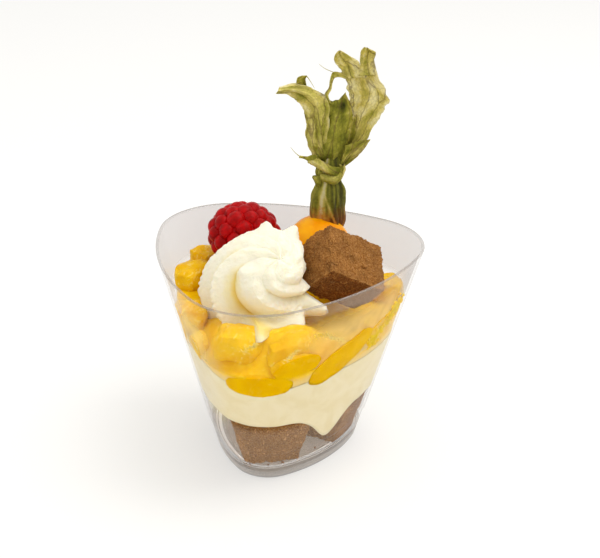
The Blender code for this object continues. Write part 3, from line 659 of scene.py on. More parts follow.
# %% Make a lumpy block
def block(size, cuts, seed, roundness, rough, taper=(1.0, 1.0), extra=None, belly=1.2):
    """A lumpy six-sided piece about its own middle: worn corners, uneven faces, narrower below.

    Its tone is high along the edge of its underside, a painted highlight, and low on the underside itself,
    a painted shade, for the material to use. The extra is a function that gives a height for finer detail.
    """
    bm = bmesh.new()
    tone = bm.verts.layers.float.new("tone")
    bmesh.ops.create_cube(bm, size=2.0)
    bmesh.ops.subdivide_edges(bm, edges=bm.edges, cuts=cuts, use_grid_fill=True)
    offset = Vector((seed * 3.7, seed * 1.9, seed * 5.3))
    for vert in bm.verts:
        cube = vert.co.copy()
        under = cube.z < -0.999
        edge = max(abs(cube.x), abs(cube.y)) if under else -cube.z
        # Painted light: a highlight along the edge of the underside, and shade on the underside itself.
        vert[tone] = 0.5 + 0.28 * smooth((edge - 0.9) / 0.1) - 0.45 * under
        ball = cube.normalized() * belly
        outwards = ball.normalized()
        worn = cube.lerp(ball, roundness)
        down = (1 - cube.z) / 2
        spot = Vector([worn[axis] * size[axis] for axis in range(3)]) / 2
        spot.x *= mix(1.0, taper[0], down)
        spot.y *= mix(1.0, taper[1], down)
        spot += outwards * rough * noise.noise(spot / (4.2 * MM) + offset)
        if extra:
            spot += outwards * extra(spot, offset)
        vert.co = spot
    return bm


def crags(spot, offset):
    """Crumb, small holes and a few cracks, as a height in metres."""
    lumps = noise.noise(spot / (1.5 * MM) + offset) * 0.3 + noise.noise(spot / (0.55 * MM) + offset) * 0.3
    hole = max(0.0, noise.noise(spot / (1.9 * MM) + offset * 2) - 0.42)
    crack = abs(noise.noise(spot / (5.0 * MM) + offset * 3))
    crack += 2.5 * max(0.0, 0.1 - noise.noise(spot / (6 * MM)))
    return (lumps - 1.1 * hole - 0.5 * max(0.0, 0.05 - crack) / 0.05) * MM


# %% [markdown]
# ## The cake pieces on the floor
# Two of them show, in front and on the right, and the third holds up the custard behind. Each is a block,
# turned as it lies in the photograph and narrower below, as the glass is. Modelling each by hand would
# give the same crags only slowly; here a row in a table is one piece.

# %% Model the cake pieces on the floor
CAKE_FOOT = FLOOR_TOP + 0.05 * MM
CAKE_TOP = 20.0 * MM
# Cake is dry, so it stays this far off the skin that wet food has at the wall.
CAKE_OFF_WALL = 0.9 * MM
# Middle and size in millimetres, turn, how much narrower below, and the height of the top.
FLOOR_CAKES = {
    "cake_floor_front": ((0.2, -13.7), (24.0, 17.0), 27.0, (0.66, 0.84), CAKE_TOP),
    "cake_floor_right": ((17.3, 3.2), (15.5, 18.5), -8.0, (0.86, 0.9), CAKE_TOP - 3.4 * MM),
    "cake_floor_left": ((-9.5, 6.5), (19.0, 17.0), 62.0, (0.85, 0.88), CAKE_TOP - 0.6 * MM),
}
for number, (name, (middle, size, turn, taper, top)) in enumerate(FLOOR_CAKES.items()):
    mesh = block((size[0] * MM, size[1] * MM, top - CAKE_FOOT), 44, 1 + number, 0.1, 0.5 * MM, taper, crags)
    centre = Vector((middle[0] * MM, middle[1] * MM, (CAKE_FOOT + top) / 2))
    mesh.transform(Matrix.Translation(centre) @ turned(z=turn))
    press_on_wall(mesh.verts, CAKE_OFF_WALL)
    put(name + "_crumb", mesh, [cake_brown], [name])

# %% [markdown]
# ## Loose crumbs
# A few crumbs fell beside the cake and lie on the floor of the glass. They are too small to be parts of
# the model, yet they show. Each is a ball pushed out of round by noise, at its true size.

# %% Loose crumbs on the glass's floor
# Place on the glass's floor and size, in millimetres.
LOOSE_CRUMBS = (
    (6.3, -19.3, 0.42), (-2.3, -22.8, 0.38), (9.8, -15.4, 0.3), (2.6, -21.6, 0.26), (13.5, -9.5, 0.34),
)
crumbs = bmesh.new()
for along, out, size in LOOSE_CRUMBS:
    ball = bmesh.ops.create_icosphere(crumbs, subdivisions=2, radius=size * MM)["verts"]
    for vert in ball:
        vert.co *= 1 + 0.6 * noise.noise(vert.co / (0.4 * MM) + Vector((along, out, 0)))
    middle = Vector((along, out, 0)) * MM + Vector((0, 0, FLOOR_TOP + size * 0.8 * MM))
    bmesh.ops.translate(crumbs, verts=ball, vec=middle)
put("loose_crumbs", crumbs, [cake_brown])

# %% [markdown]
# ## The cake piece on top
# It leans on the rosette and shows three of its faces and their shared corner, so it is placed by that
# corner. It is seen from near by, against pale cream, and so its block has twice as many cuts.

# %% Model the cake piece on top
TOP_CAKE_CORNER = Vector((17.8, -11.5, 63.2)) * MM
TOP_CAKE_SIZE = Vector((20.2, 13.3, 15.6)) * MM
# The block's tone paints shade on its underside, the dark face low in front, and a highlight on its edges.
top_cake = block(TOP_CAKE_SIZE, 92, 5, 0.16, 0.6 * MM, extra=crags)
top_turn = turned(-50.4, 29.2, 40.0)
top_cake.transform(Matrix.Translation(TOP_CAKE_CORNER + top_turn.to_3x3() @ (TOP_CAKE_SIZE / 2)) @ top_turn)
put("cake_top_crumb", top_cake, [cake_brown], ["cake_top"])

# %% [markdown]
# ## Custard cream
# The cream was poured over the cake and ran down the wall in one place, as a tongue. It is one layer from
# its underside to its top, modelled as rings round the glass's axis. Its skin reaches a little way into
# the wall, so that no air shows between them, as with anything wet in a glass.

# %% Model the custard
CREAM_UNDER = 20.6 * MM
CREAM_RIM_UNDER = 21.6 * MM
CREAM_TOP = 37.0 * MM
CREAM_RIM = 36.4 * MM
# Swells of a layer's edge: bearing in degrees, height, and width in degrees.
CREAM_UNDER_EDGE = ((10, -3.0 * MM, 45),)
CREAM_TONGUE = ((-37, -9.4 * MM, 16),)
CREAM_EDGE = ((-125, 3.5 * MM, 25), (-80, -1.4 * MM, 16))
LAYER_AROUND = 168


def edge_lift(angle, edge):
    return sum(
        lift * bump(angle_between(angle, math.radians(bearing)), 0, math.radians(width))
        for bearing, lift, width in edge
    )


def cream_under(angle, share):
    edge = CREAM_RIM_UNDER + edge_lift(angle, CREAM_UNDER_EDGE)
    tongue = edge_lift(angle, CREAM_TONGUE) * smooth((share - 0.5) / 0.4)
    ripple = 0.25 * MM * noise.noise(bent(angle, 6.0)) * share
    return mix(CREAM_UNDER, edge, smooth((share - 0.7) / 0.3)) + tongue + ripple


def cream_top(angle, share):
    edge = CREAM_RIM + edge_lift(angle, CREAM_EDGE)
    return mix(CREAM_TOP, edge, smooth((share - 0.6) / 0.4))


def layer(under, top, across, side_rows, short=lambda bearing, height: 0.0):
    """A layer of the fill between two height functions, out to the wall's face, or short of it."""
    rows = [(under, step / across) for step in range(across + 1)]
    rows += [(None, step / side_rows) for step in range(1, side_rows)]
    rows += [(top, 1 - step / across) for step in range(across + 1)]

    def place(bearing, row):
        face, share = rows[row]
        if share == 0.0:
            bearing = 0.0
        if face:
            height = face(bearing, share)
        else:
            height = mix(under(bearing, 1.0), top(bearing, 1.0), share)
            share = 1.0
        reach = wall_reach(height, bearing, inner_inset(height) + short(bearing, height)) * share
        return bent(bearing, reach) + Vector((0, 0, height))

    return ring_skin(LAYER_AROUND, len(rows), place)


custard, tree, shader, place = food_material("custard_cream", (237, 222, 180), 0.45, 0.3)
swirls = grain(place, 9.0, 2.0, 0.5, 1.5)
paint(shader, ramp(swirls, [(0.3, (234, 218, 172)), (0.7, (240, 226, 187))]))
scatter(shader, 0.3, (1.6, 1.4, 1.0))
put("custard_fill", layer(cream_under, cream_top, 22, 16), [custard], ["custard_cream"])

# %% [markdown]
# ## Mango sauce
# The mango lies in its own thickened juice: one heaped layer with a wet, fibrous top, made as the custard
# was. Only near the custard and in the middle of the front does it wet the wall; elsewhere a thin gap
# behind the wall lets its surface look deeper. Its lowest edge is stained pale by the custard below.

# %% Model the sauce
SAUCE_TOP = 45.0 * MM
SAUCE_RIM = 39.5 * MM
SAUCE_EDGE = ((165, 6.0 * MM, 50), (12, 5.5 * MM, 28))
SAUCE_DIP = ((-8, 3.2 * MM, 32),)
# Heaps on the sauce: height, bearing in degrees, its width in radians, share of the way out, its width.
SAUCE_HEAPS = ((2.8 * MM, -90, 0.8, 0.66, 0.24), (3.2 * MM, -64, 0.34, 0.7, 0.2))
SAUCE_GAP = 0.24 * MM


def sauce_top(angle, share):
    edge = SAUCE_RIM + edge_lift(angle, SAUCE_EDGE)
    height = mix(SAUCE_TOP, edge, smooth((share - 0.66) / 0.34))
    for rise, bearing, width, out, spread in SAUCE_HEAPS:
        beside = angle_between(angle, math.radians(bearing))
        height += rise * bump(share, out, spread) * bump(beside, 0, width)
    dip = edge_lift(angle, SAUCE_DIP) * bump(share, 0.7, 0.35)
    waves = 0.7 * MM * noise.noise(bent(angle, share) * 4.0) * smooth(1.6 - share * 1.5)
    fibres = 0.35 * MM * noise.noise(bent(angle, share) * 22.0) * smooth(3.0 - 3 * share)
    return height - dip + waves + fibres


def sauce_under(angle, share):
    return cream_top(angle, share) - 0.3 * MM


def sauce_gap(angle, height):
    """How far the sauce stands off the wall: not at all by the cream, nor in the middle of the front."""
    middle = bump(angle_between(angle, math.radians(-72)), 0, 0.36)
    return SAUCE_GAP * (1 - middle) * smooth((height - cream_top(angle, 1.0)) / (2.0 * MM) - 0.3)


sauce, tree, shader, place = food_material("mango_sauce", (248, 196, 6), 0.14, 0.12)
pulp = grain(place, 1.6, 4.0, 0.6, 0.8)
thick_colour = ramp(pulp, [(0.3, (240, 180, 0)), (0.55, (248, 198, 6)), (0.75, (255, 222, 80))])
above = plus(on_points(tree, "above_cream"), band(pulp, 0.3, 0.7, -0.15, 0.15))
paint(shader, blend(band(above, 0.1, 0.9), linear((238, 204, 126)), thick_colour))
scatter(shader, 0.3, (1.0, 0.8, 0.25))
relief(shader, pulp, 0.22)
sauce_layer = layer(sauce_under, sauce_top, 44, 10, sauce_gap)
above_cream = sauce_layer.verts.layers.float.new("above_cream")
for vert in sauce_layer.verts:
    cream_edge = cream_top(math.atan2(vert.co.y, vert.co.x), 1.0)
    vert[above_cream] = smooth((vert.co.z - cream_edge) / (4.0 * MM))
put("mango_sauce_fill", sauce_layer, [sauce], ["mango_sauce"])

# %% [markdown]
# ## Mango flesh
# Mango is a deeper yellow in patches, and fibres run through it. One even colour would look like plastic,
# so noise mixes two yellows, and stretched noise adds fine fibres as a bump and paler strings. One
# function makes four finishes: cut faces, faces pressed on the wall, wet strings, which are pale as a
# painted glint, and bright pulp.

# %% Finishes of mango
def flesh_finish(name, dark, bright, strings, gloss):
    """Mango flesh between two colours, with paler strings in it."""
    made, tree, shader, place = food_material(name, dark, 0.2, gloss)
    along = {"Vector": place, "Scale": (1.0, 0.45, 1.0), "Rotation": (0.3, 0.2, 0.6)}
    stretched = node(tree, "Mapping", along).outputs[0]
    fibre = grain(stretched, 0.7, 4.0, 0.6, 0.6)
    strands = grain(stretched, 1.8, 3.0, 0.7, 1.2)
    flesh = ramp(grain(place, 5.0, 2.0), [(0.3, dark), (0.7, bright)])
    paint(shader, blend(band(strands, 0.56, 0.7, 0.0, strings), flesh, linear((253, 226, 120))))
    scatter(shader, 0.35, (1.0, 0.8, 0.25))
    relief(shader, fibre, 0.22)
    return made


mango = flesh_finish("mango_flesh", (236, 178, 0), (244, 196, 2), 0.75, 0.1)
pressed_mango = flesh_finish("mango_pressed", (231, 174, 0), (240, 188, 0), 0.25, 0.0)
# Pale and glossy strings: fibre, and painted glints on the wet pulp.
wet_string_and_glint = flesh_finish("mango_string_and_glint", (250, 206, 50), (255, 228, 130), 0.8, 0.4)
bright_pulp = flesh_finish("mango_pulp", (250, 192, 0), (255, 208, 6), 0.3, 0.0)
print("mango finishes:", ", ".join(made.name for made in (mango, pressed_mango, wet_string_and_glint, bright_pulp)))

# %% [markdown]
# ## Mango pieces
# The pieces are soft-edged cubes and slices. A cube is subdivided, rounded towards a ball and roughened,
# and where it meets the wall it is pressed flat on it. The first three lie against the front wall: they
# are pressed a little deeper than the sauce, so that nothing dulls them and they show as sharp bright
# slices.

# %% Model the mango pieces
# Bearing, distance out and height of the middle, size, turn and tilt, in degrees and millimetres.
MANGO = (
    (-84, 32.6, 37.0, (15.5, 8.0, 5.8), 4, 0),
    (-66, 32.0, 42.6, (11.5, 7.0, 5.4), 26, -6),
    (-38, 29.8, 40.6, (20.5, 7.0, 7.0), 52, -25),
    (-123, 30.2, 42.6, (5.6, 5.6, 5.6), -30, 30),
    (-98, 27.2, 46.0, (12.5, 11.0, 8.5), 8, 6),
    (-69, 26.0, 44.4, (13.0, 11.0, 8.5), 35, -8),
    (-146, 27.0, 45.4, (10.0, 9.0, 8.0), 15, 8),
    (166, 31.0, 46.2, (12.0, 10.5, 8.5), 70, -6),
    (148, 35.0, 47.0, (9.0, 11.0, 8.5), 58, 5),
    (131, 23.5, 45.0, (12.5, 12.0, 8.0), 30, 0),
    (33, 33.5, 45.6, (9.5, 11.0, 7.0), 20, 6),
    (-6, 29.5, 42.6, (10.5, 10.0, 7.5), 78, 4),
    (100, 28.0, 44.4, (12.0, 7.5, 7.0), 5, 0),
    (66, 31.0, 43.6, (10.0, 8.0, 7.0), -25, 4),
)
PRESSED_PIECES = 3
# Less than nothing off the wall's skin: these reach a little deeper into the wall than the sauce.
PRESSED_OFF = -0.06 * MM


def soft_flesh(spot, offset):
    coarse = 0.25 * noise.noise(spot / (1.6 * MM) + offset)
    return (coarse + 0.1 * noise.noise(spot / (0.6 * MM) + offset)) * MM


for number, (bearing, out, height, size, turn, tilt) in enumerate(MANGO):
    pressed = number < PRESSED_PIECES
    roundness, rough, grown = (0.85, 0.4 * MM, 1.1) if pressed else (0.7, 1.2 * MM, 1.04)
    mesh = block(Vector(size) * MM * grown, 26, 11 + number, roundness, rough, extra=soft_flesh, belly=1.12)
    middle = bent(math.radians(bearing), out * MM) + Vector((0, 0, height * MM))
    mesh.transform(Matrix.Translation(middle) @ turned(y=tilt, z=turn))
    press_on_wall(mesh.verts, PRESSED_OFF if pressed else 0.0)
    name = f"mango_piece_{number + 1:02d}"
    put(name + "_flesh", mesh, [pressed_mango if pressed else mango], [name])

# %% [markdown]
# ## Pulp on the wall
# Pouring leaves traces that belong to no piece: a grainy streak of pulp up the wall on the right, two thin
# slivers of mango on the left, and wet strings of fibre that stick to the wall over the fruit in front,
# pale enough to paint the glints on the wet pulp there as well.
# They could be painted on the glass, but they have thickness and catch light. So they are small lumps
# pressed on the wall, as the mango pieces are, and the lumps of a string are scattered along a line.

# %% Model the pulp, the slivers and the strings
PULP_LUMPS = 240
STRING_AND_GLINT_LUMPS = 80
# Two ends of a line on the wall, each by its bearing in degrees and its height in millimetres.
PULP_LINE = ((-14.0, 40.0), (9.0, 49.5))
STRING_AND_GLINT_LINES = (
    ((-89.3, 49.5), (-83.0, 52.6)),
    ((-72.0, 45.6), (-65.8, 48.7)),
    ((-58.0, 52.4), (-50.0, 50.6)),
    ((-50.0, 50.6), (-38.3, 45.6)),
)
# Bearing, height, lean and width.
SLIVERS = ((-123, 41.8, -42, 1.2), (-145, 41.0, -6, 1.7))


def lump_on_wall(bm, bearing, height, size, lean=0.0, fineness=2):
    """Press a lump on the wall's inside: its size is across, deep and tall, and its lean is in degrees.

    Each is pressed to a depth of its own, because faces that share a plane would darken one another.
    """
    turn = math.radians(bearing)
    spot = bent(turn, wall_reach(height, turn, WALL + size[1] * 0.3)) + Vector((0, 0, height))
    ball = bmesh.ops.create_icosphere(bm, subdivisions=fineness, radius=1.0)["verts"]
    bmesh.ops.scale(bm, verts=ball, vec=size)
    facing = turned(z=bearing + 90) @ turned(y=lean)
    bmesh.ops.transform(bm, verts=ball, matrix=Matrix.Translation(spot) @ facing)
    press_on_wall(ball, PRESSED_OFF * random.uniform(0.2, 1.8))


def lumps_along(bm, line, count, sizes, stretch, spread, fineness):
    """Scatter lumps about a line on the wall; spread is in degrees along it and in millimetres up."""
    (first, low), (last, high) = line
    for _ in range(count):
        along = random.random()
        size = random.uniform(*sizes) * MM
        bearing = mix(first, last, along) + random.gauss(0, spread[0])
        height = (mix(low, high, along) + random.gauss(0, spread[1])) * MM
        lump_on_wall(bm, bearing, height, (size * stretch, size, size), random.uniform(0, 90), fineness)


pulp = bmesh.new()
random.seed(21)
lumps_along(pulp, PULP_LINE, PULP_LUMPS, (0.3, 0.75), 1.3, (2.2, 1.3), 2)
put("mango_pulp_on_wall", pulp, [bright_pulp])
slivers = bmesh.new()
for bearing, height, lean, across in SLIVERS:
    lump_on_wall(slivers, bearing, height * MM, (across * MM, 1.2 * MM, 4.0 * MM), lean, 4)
put("mango_slivers_on_wall", slivers, [pressed_mango])
strings = bmesh.new()
# The strings also paint the glints on the wet pulp over the fruit in front.
for line in STRING_AND_GLINT_LINES:
    lumps_along(strings, line, STRING_AND_GLINT_LUMPS, (0.07, 0.19), 2, (0.8, 0.4), 1)
put("mango_strings_and_glints_on_wall", strings, [wet_string_and_glint])

# %% [markdown]
# ## The piped rosette
# A star nozzle leaves deep rounded ridges that wind in to the tip, where the hand stopped. The rings of a
# dome are turned a little more at each step, so the ridges swirl, and a few ridge ends are drawn out, as
# cream is when it tears from the nozzle. Noise roughens it: whipped cream has a slightly ragged grain.

# %% The rosette's shape
ROSETTE_FOOT = Vector((-5.6, -4.0, 50.5)) * MM
ROSETTE_LEAN = math.radians(28)
ROSETTE_RADIUS = 17.1 * MM
ROSETTE_HEIGHT = 18.5 * MM
ROSETTE_TIP_SHIFT = Vector((9.5, -1.5, -1.0)) * MM
ROSETTE_TWIST = math.radians(135)
ROSETTE_ROWS = 120
ROSETTE_AROUND = 420
RIDGE_DEPTH = 0.36
FAINT_AT = math.radians(78)
# Valleys between ribbons: bearing in degrees, depth, and where between it and the next the crest lies.
VALLEYS = (
    (12, 0.6, 0.5), (44, 0.5, 0.3), (98, 0.45, 0.2), (150, 0.3, 0.2), (206, 0.5, 0.2), (257, 0.8, 0.25),
    (300, 1.0, 0.75),
)
# Drawn-out ends: bearing in degrees, share of the way up, length and lift in millimetres, width in degrees.
DRAWN_ENDS = (
    (-72, 0.0, 5.4, 6.4, 16), (-69, 0.0, 6.0, 4.4, 8), (-38, 0.0, 5.2, 3.0, 12), (-50, 0.0, 6.0, 2.2, 15),
    (-18, 0.05, 6.6, 2.2, 5), (-9, 0.1, 2.4, 1.6, 8), (-1, 0.1, -2.4, 0.0, 10), (12, 0.13, -3.0, 0.0, 14),
    (32, 0.2, -3.0, 0.0, 14), (12, 0.42, -2.2, 0.0, 24), (68, 0.4, 3.2, 0.6, 8), (98, 0.4, 2.8, 0.6, 7),
    (165, 0.1, 1.2, 0.0, 11),
)
DRAWN_SPREAD = 0.13


def ribbon(turn):
    """(share of the ribbon's width from its crest, height from 0 to 1), from one valley to the next."""
    first = VALLEYS[0][0]
    degrees = (math.degrees(turn) - first) % 360 + first
    ends = VALLEYS + ((first + 360, VALLEYS[0][1], 0.0),)
    low, high = next(pair for pair in zip(ends, ends[1:]) if pair[0][0] <= degrees < pair[1][0])
    part = (degrees - low[0]) / (high[0] - low[0])
    crest = low[2]
    if part < crest:
        return part - crest, 1 - low[1] * (1 - (part / crest) ** 0.9)
    return part - crest, 1 - high[1] * ((part - crest) / (1 - crest)) ** 1.4


def rosette_point(turn, row):
    if row == 0:
        return Vector((0, 0, 0))
    if row == 1:
        return bent(turn, ROSETTE_RADIUS * 0.75)
    if row == ROSETTE_ROWS:
        return ROSETTE_TIP_SHIFT + Vector((0, 0, ROSETTE_HEIGHT * 1.03))
    share = (row - 2) / (ROSETTE_ROWS - 2)
    reach = ROSETTE_RADIUS * math.cos(share * math.pi / 2) ** 0.75
    height = ROSETTE_HEIGHT * math.sin(share * math.pi / 2) ** 1.1 + 1.2 * MM * smooth(share * 12)
    from_crest, ridge = ribbon(turn)
    faint = 0.75 * bump(angle_between(turn, FAINT_AT), 0, 0.9) * smooth((share - 0.22) / 0.25)
    ridge = 1 - (1 - ridge) * (1 - faint)
    reach *= 1 - RIDGE_DEPTH * (1 - 0.5 * share) * (1 - 0.8 * smooth((share - 0.55) / 0.35)) * (1 - ridge)
    reach += 0.16 * MM * noise.noise(bent(turn, 13.0) + Vector((0, 0, share * 2.5))) * (1 - share)
    height *= 1 - 0.06 * (1 - ridge)
    bearing = turn - ROSETTE_TWIST * share
    for degrees, level, length, lift, width in DRAWN_ENDS:
        near = bump(angle_between(bearing, math.radians(degrees)), 0, math.radians(width))
        near *= bump(share, level, DRAWN_SPREAD)
        reach += length * MM * near
        height += lift * MM * near
    spot = bent(bearing, reach) + Vector((0, 0, height))
    crest = bump(from_crest, 0, 0.13)
    torn = (0.12 + 0.9 * crest * (1 - share) ** 2) * noise.noise(spot / (1.2 * MM))
    torn += 0.1 * noise.noise(spot / (0.4 * MM))
    torn += 0.7 * smooth((share - 0.5) / 0.25) * noise.noise(spot / (3.2 * MM))
    return spot + spot.normalized() * torn * MM + ROSETTE_TIP_SHIFT * share**1.5


print(len(VALLEYS), "ribbons,", len(DRAWN_ENDS), "pulls")

# %% [markdown]
# ## The cream
# Light that enters cream comes out again a little warmer, and most of all between two ribbons, which light
# each other. The material could not know where a ribbon ends. So each point keeps its share of the
# ribbon's height, the colour follows that share, and near the tip and the foot, which are open to the
# light, it fades.

# %% Model the rosette
rosette = ring_skin(ROSETTE_AROUND, ROSETTE_ROWS + 1, rosette_point)
bearing_of = rosette.verts.layers.float["bearing"]
ribbon_share = rosette.verts.layers.float.new("ribbon_share")
for vert in rosette.verts:
    near_tip = smooth((vert.co.z / ROSETTE_HEIGHT - 0.78) / 0.2)
    near_foot = 1 - smooth((vert.co.z / ROSETTE_HEIGHT - 0.1) / 0.2)
    vert[ribbon_share] = 1 - (1 - ribbon(vert[bearing_of])[1]) * (1 - 0.9 * max(near_tip, near_foot))
rosette.transform(Matrix.Translation(ROSETTE_FOOT) @ Matrix.Rotation(ROSETTE_LEAN, 4, "X"))
cream, tree, shader, place = food_material("whipped_cream", (250, 245, 222), 0.55, 0.3)
grainy = grain(place, 0.5, 4.0, 0.6)
depth = on_points(tree, "ribbon_share")
depth = plus(depth, times(grain(place, 3.0, 2.0), 0.3))
paint(shader, ramp(depth, [(0.15, (236, 211, 118)), (0.5, (239, 229, 188)), (0.85, (242, 237, 215))]))
scatter(shader, 0.6, (2.4, 2.1, 1.5))
relief(shader, grainy, 0.12)
put("piped_rosette", rosette, [cream], ["whipped_cream"])

# %% [markdown]
# ## The raspberry
# A raspberry is a cap of small round drupelets, packed in rows that wind round it. One ball is modelled
# for each, set on a blunt cone by the golden angle, which packs them as nature does. A dark core closes
# the gaps between them, and fine pale hairs stand out where the light catches the edge.

# %% Model the raspberry
RASPBERRY_AT = Vector((-16.0, 16.8, 59.2)) * MM
RASPBERRY_RADIUS = 11.2 * MM
RASPBERRY_TILT = (-20, 15, 30)
DRUPELETS = 64
DRUPELET_SIZE = 2.75 * MM
DRUPELET_SUNK = 2.15 * MM
CORE_SUNK = 1.3 * MM
HAIRS = 110
HAIR = {"cap_ends": True, "segments": 4, "radius1": 0.07 * MM, "radius2": 0.02 * MM, "depth": 1.8 * MM}
GOLDEN_ANGLE = math.pi * (3 - math.sqrt(5))
random.seed(7)


def raspberry_reach(way):
    return RASPBERRY_RADIUS * (1 - 0.16 * smooth((way.z + 0.2) / 1.2))


def raspberry_ways():
    for number in range(DRUPELETS):
        height = 1 - (2 * number + 1) / DRUPELETS
        yield bent(number * GOLDEN_ANGLE, math.sqrt(1 - height * height)) + Vector((0, 0, height))


def any_way():
    return Vector([random.gauss(0, 1) for _ in range(3)])


def facing(way):
    """The turn that points what stands upright this way."""
    return Vector((0, 0, 1)).rotation_difference(way).to_matrix().to_4x4()


raspberry = bmesh.new()
bmesh.ops.create_icosphere(raspberry, subdivisions=3, radius=1.0)
for vert in raspberry.verts:
    vert.co = vert.co.normalized() * (raspberry_reach(vert.co.normalized()) - CORE_SUNK)
for way in raspberry_ways():
    size = DRUPELET_SIZE * random.uniform(0.92, 1.08)
    spot = way * (raspberry_reach(way) - DRUPELET_SUNK)
    ball = bmesh.ops.create_icosphere(raspberry, subdivisions=3, radius=size)["verts"]
    bmesh.ops.scale(raspberry, verts=ball, vec=(1.0, 1.0, 0.92))
    bmesh.ops.transform(raspberry, verts=ball, matrix=Matrix.Translation(spot) @ facing(way))
for _ in range(HAIRS):
    way = any_way().normalized()
    lean = (way + 0.5 * any_way()).normalized()
    root = Matrix.Translation(way * (raspberry_reach(way) - 0.5 * MM))
    bmesh.ops.create_cone(raspberry, matrix=root @ facing(lean), **HAIR)
raspberry.transform(Matrix.Translation(RASPBERRY_AT) @ turned(*RASPBERRY_TILT))
red, tree, shader, place = food_material("raspberry_skin", (176, 8, 12), 0.4, 0.1)
mottle = grain(place, 2.2, 3.0)
paint(shader, ramp(mottle, [(0.3, (144, 0, 0)), (0.7, (186, 2, 6))]))
scatter(shader, 0.4, (1.6, 0.2, 0.15))
put("raspberry_drupelets", raspberry, [red], ["raspberry"])

# %% [markdown]
# ## The physalis berry
# A smooth, waxy ball. It could be a plain sphere, but a real one is never quite round, so the sphere is
# pressed and swelled a little by noise before it is given its skin.

# %% Model the berry
BERRY_AT = Vector((6.0, 21.0, 55.2)) * MM
BERRY_RADIUS = 10.0 * MM
berry = bmesh.new()
bmesh.ops.create_uvsphere(berry, u_segments=64, v_segments=40, radius=BERRY_RADIUS)
for vert in berry.verts:
    swell = 0.25 * noise.noise(vert.co / (8 * MM)) + 0.03 * noise.noise(vert.co / (1.5 * MM))
    vert.co += vert.co.normalized() * swell * MM
berry.transform(Matrix.Translation(BERRY_AT))
orange, tree, shader, place = food_material("physalis_skin", (246, 160, 0), 0.3, 0.1)
cheeks = grain(place, 7.0, 3.0)
paint(shader, ramp(cheeks, [(0.3, (234, 144, 0)), (0.7, (248, 174, 5))]))
scatter(shader, 0.35, (1.6, 0.8, 0.1))
pores = grain(place, 0.35, 2.0)
relief(shader, pores, 0.03)
put("physalis_ball", berry, [orange], ["physalis_berry"])

# %% [markdown]
# ## The dried husk
# The husk is the papery lantern of the fruit, folded up and gathered at a knot. Each leaf is a thin sheet
# between two curved edges. An edge is a few points and the smooth curve through them, which is how a curve
# object in an editor works as well, and the leaf bellies out between its two edges.

# %% The edges of the leaves
HUSK_AT = Vector((8.0, 24.0, 60.0)) * MM
HUSK_TURN = 16.0
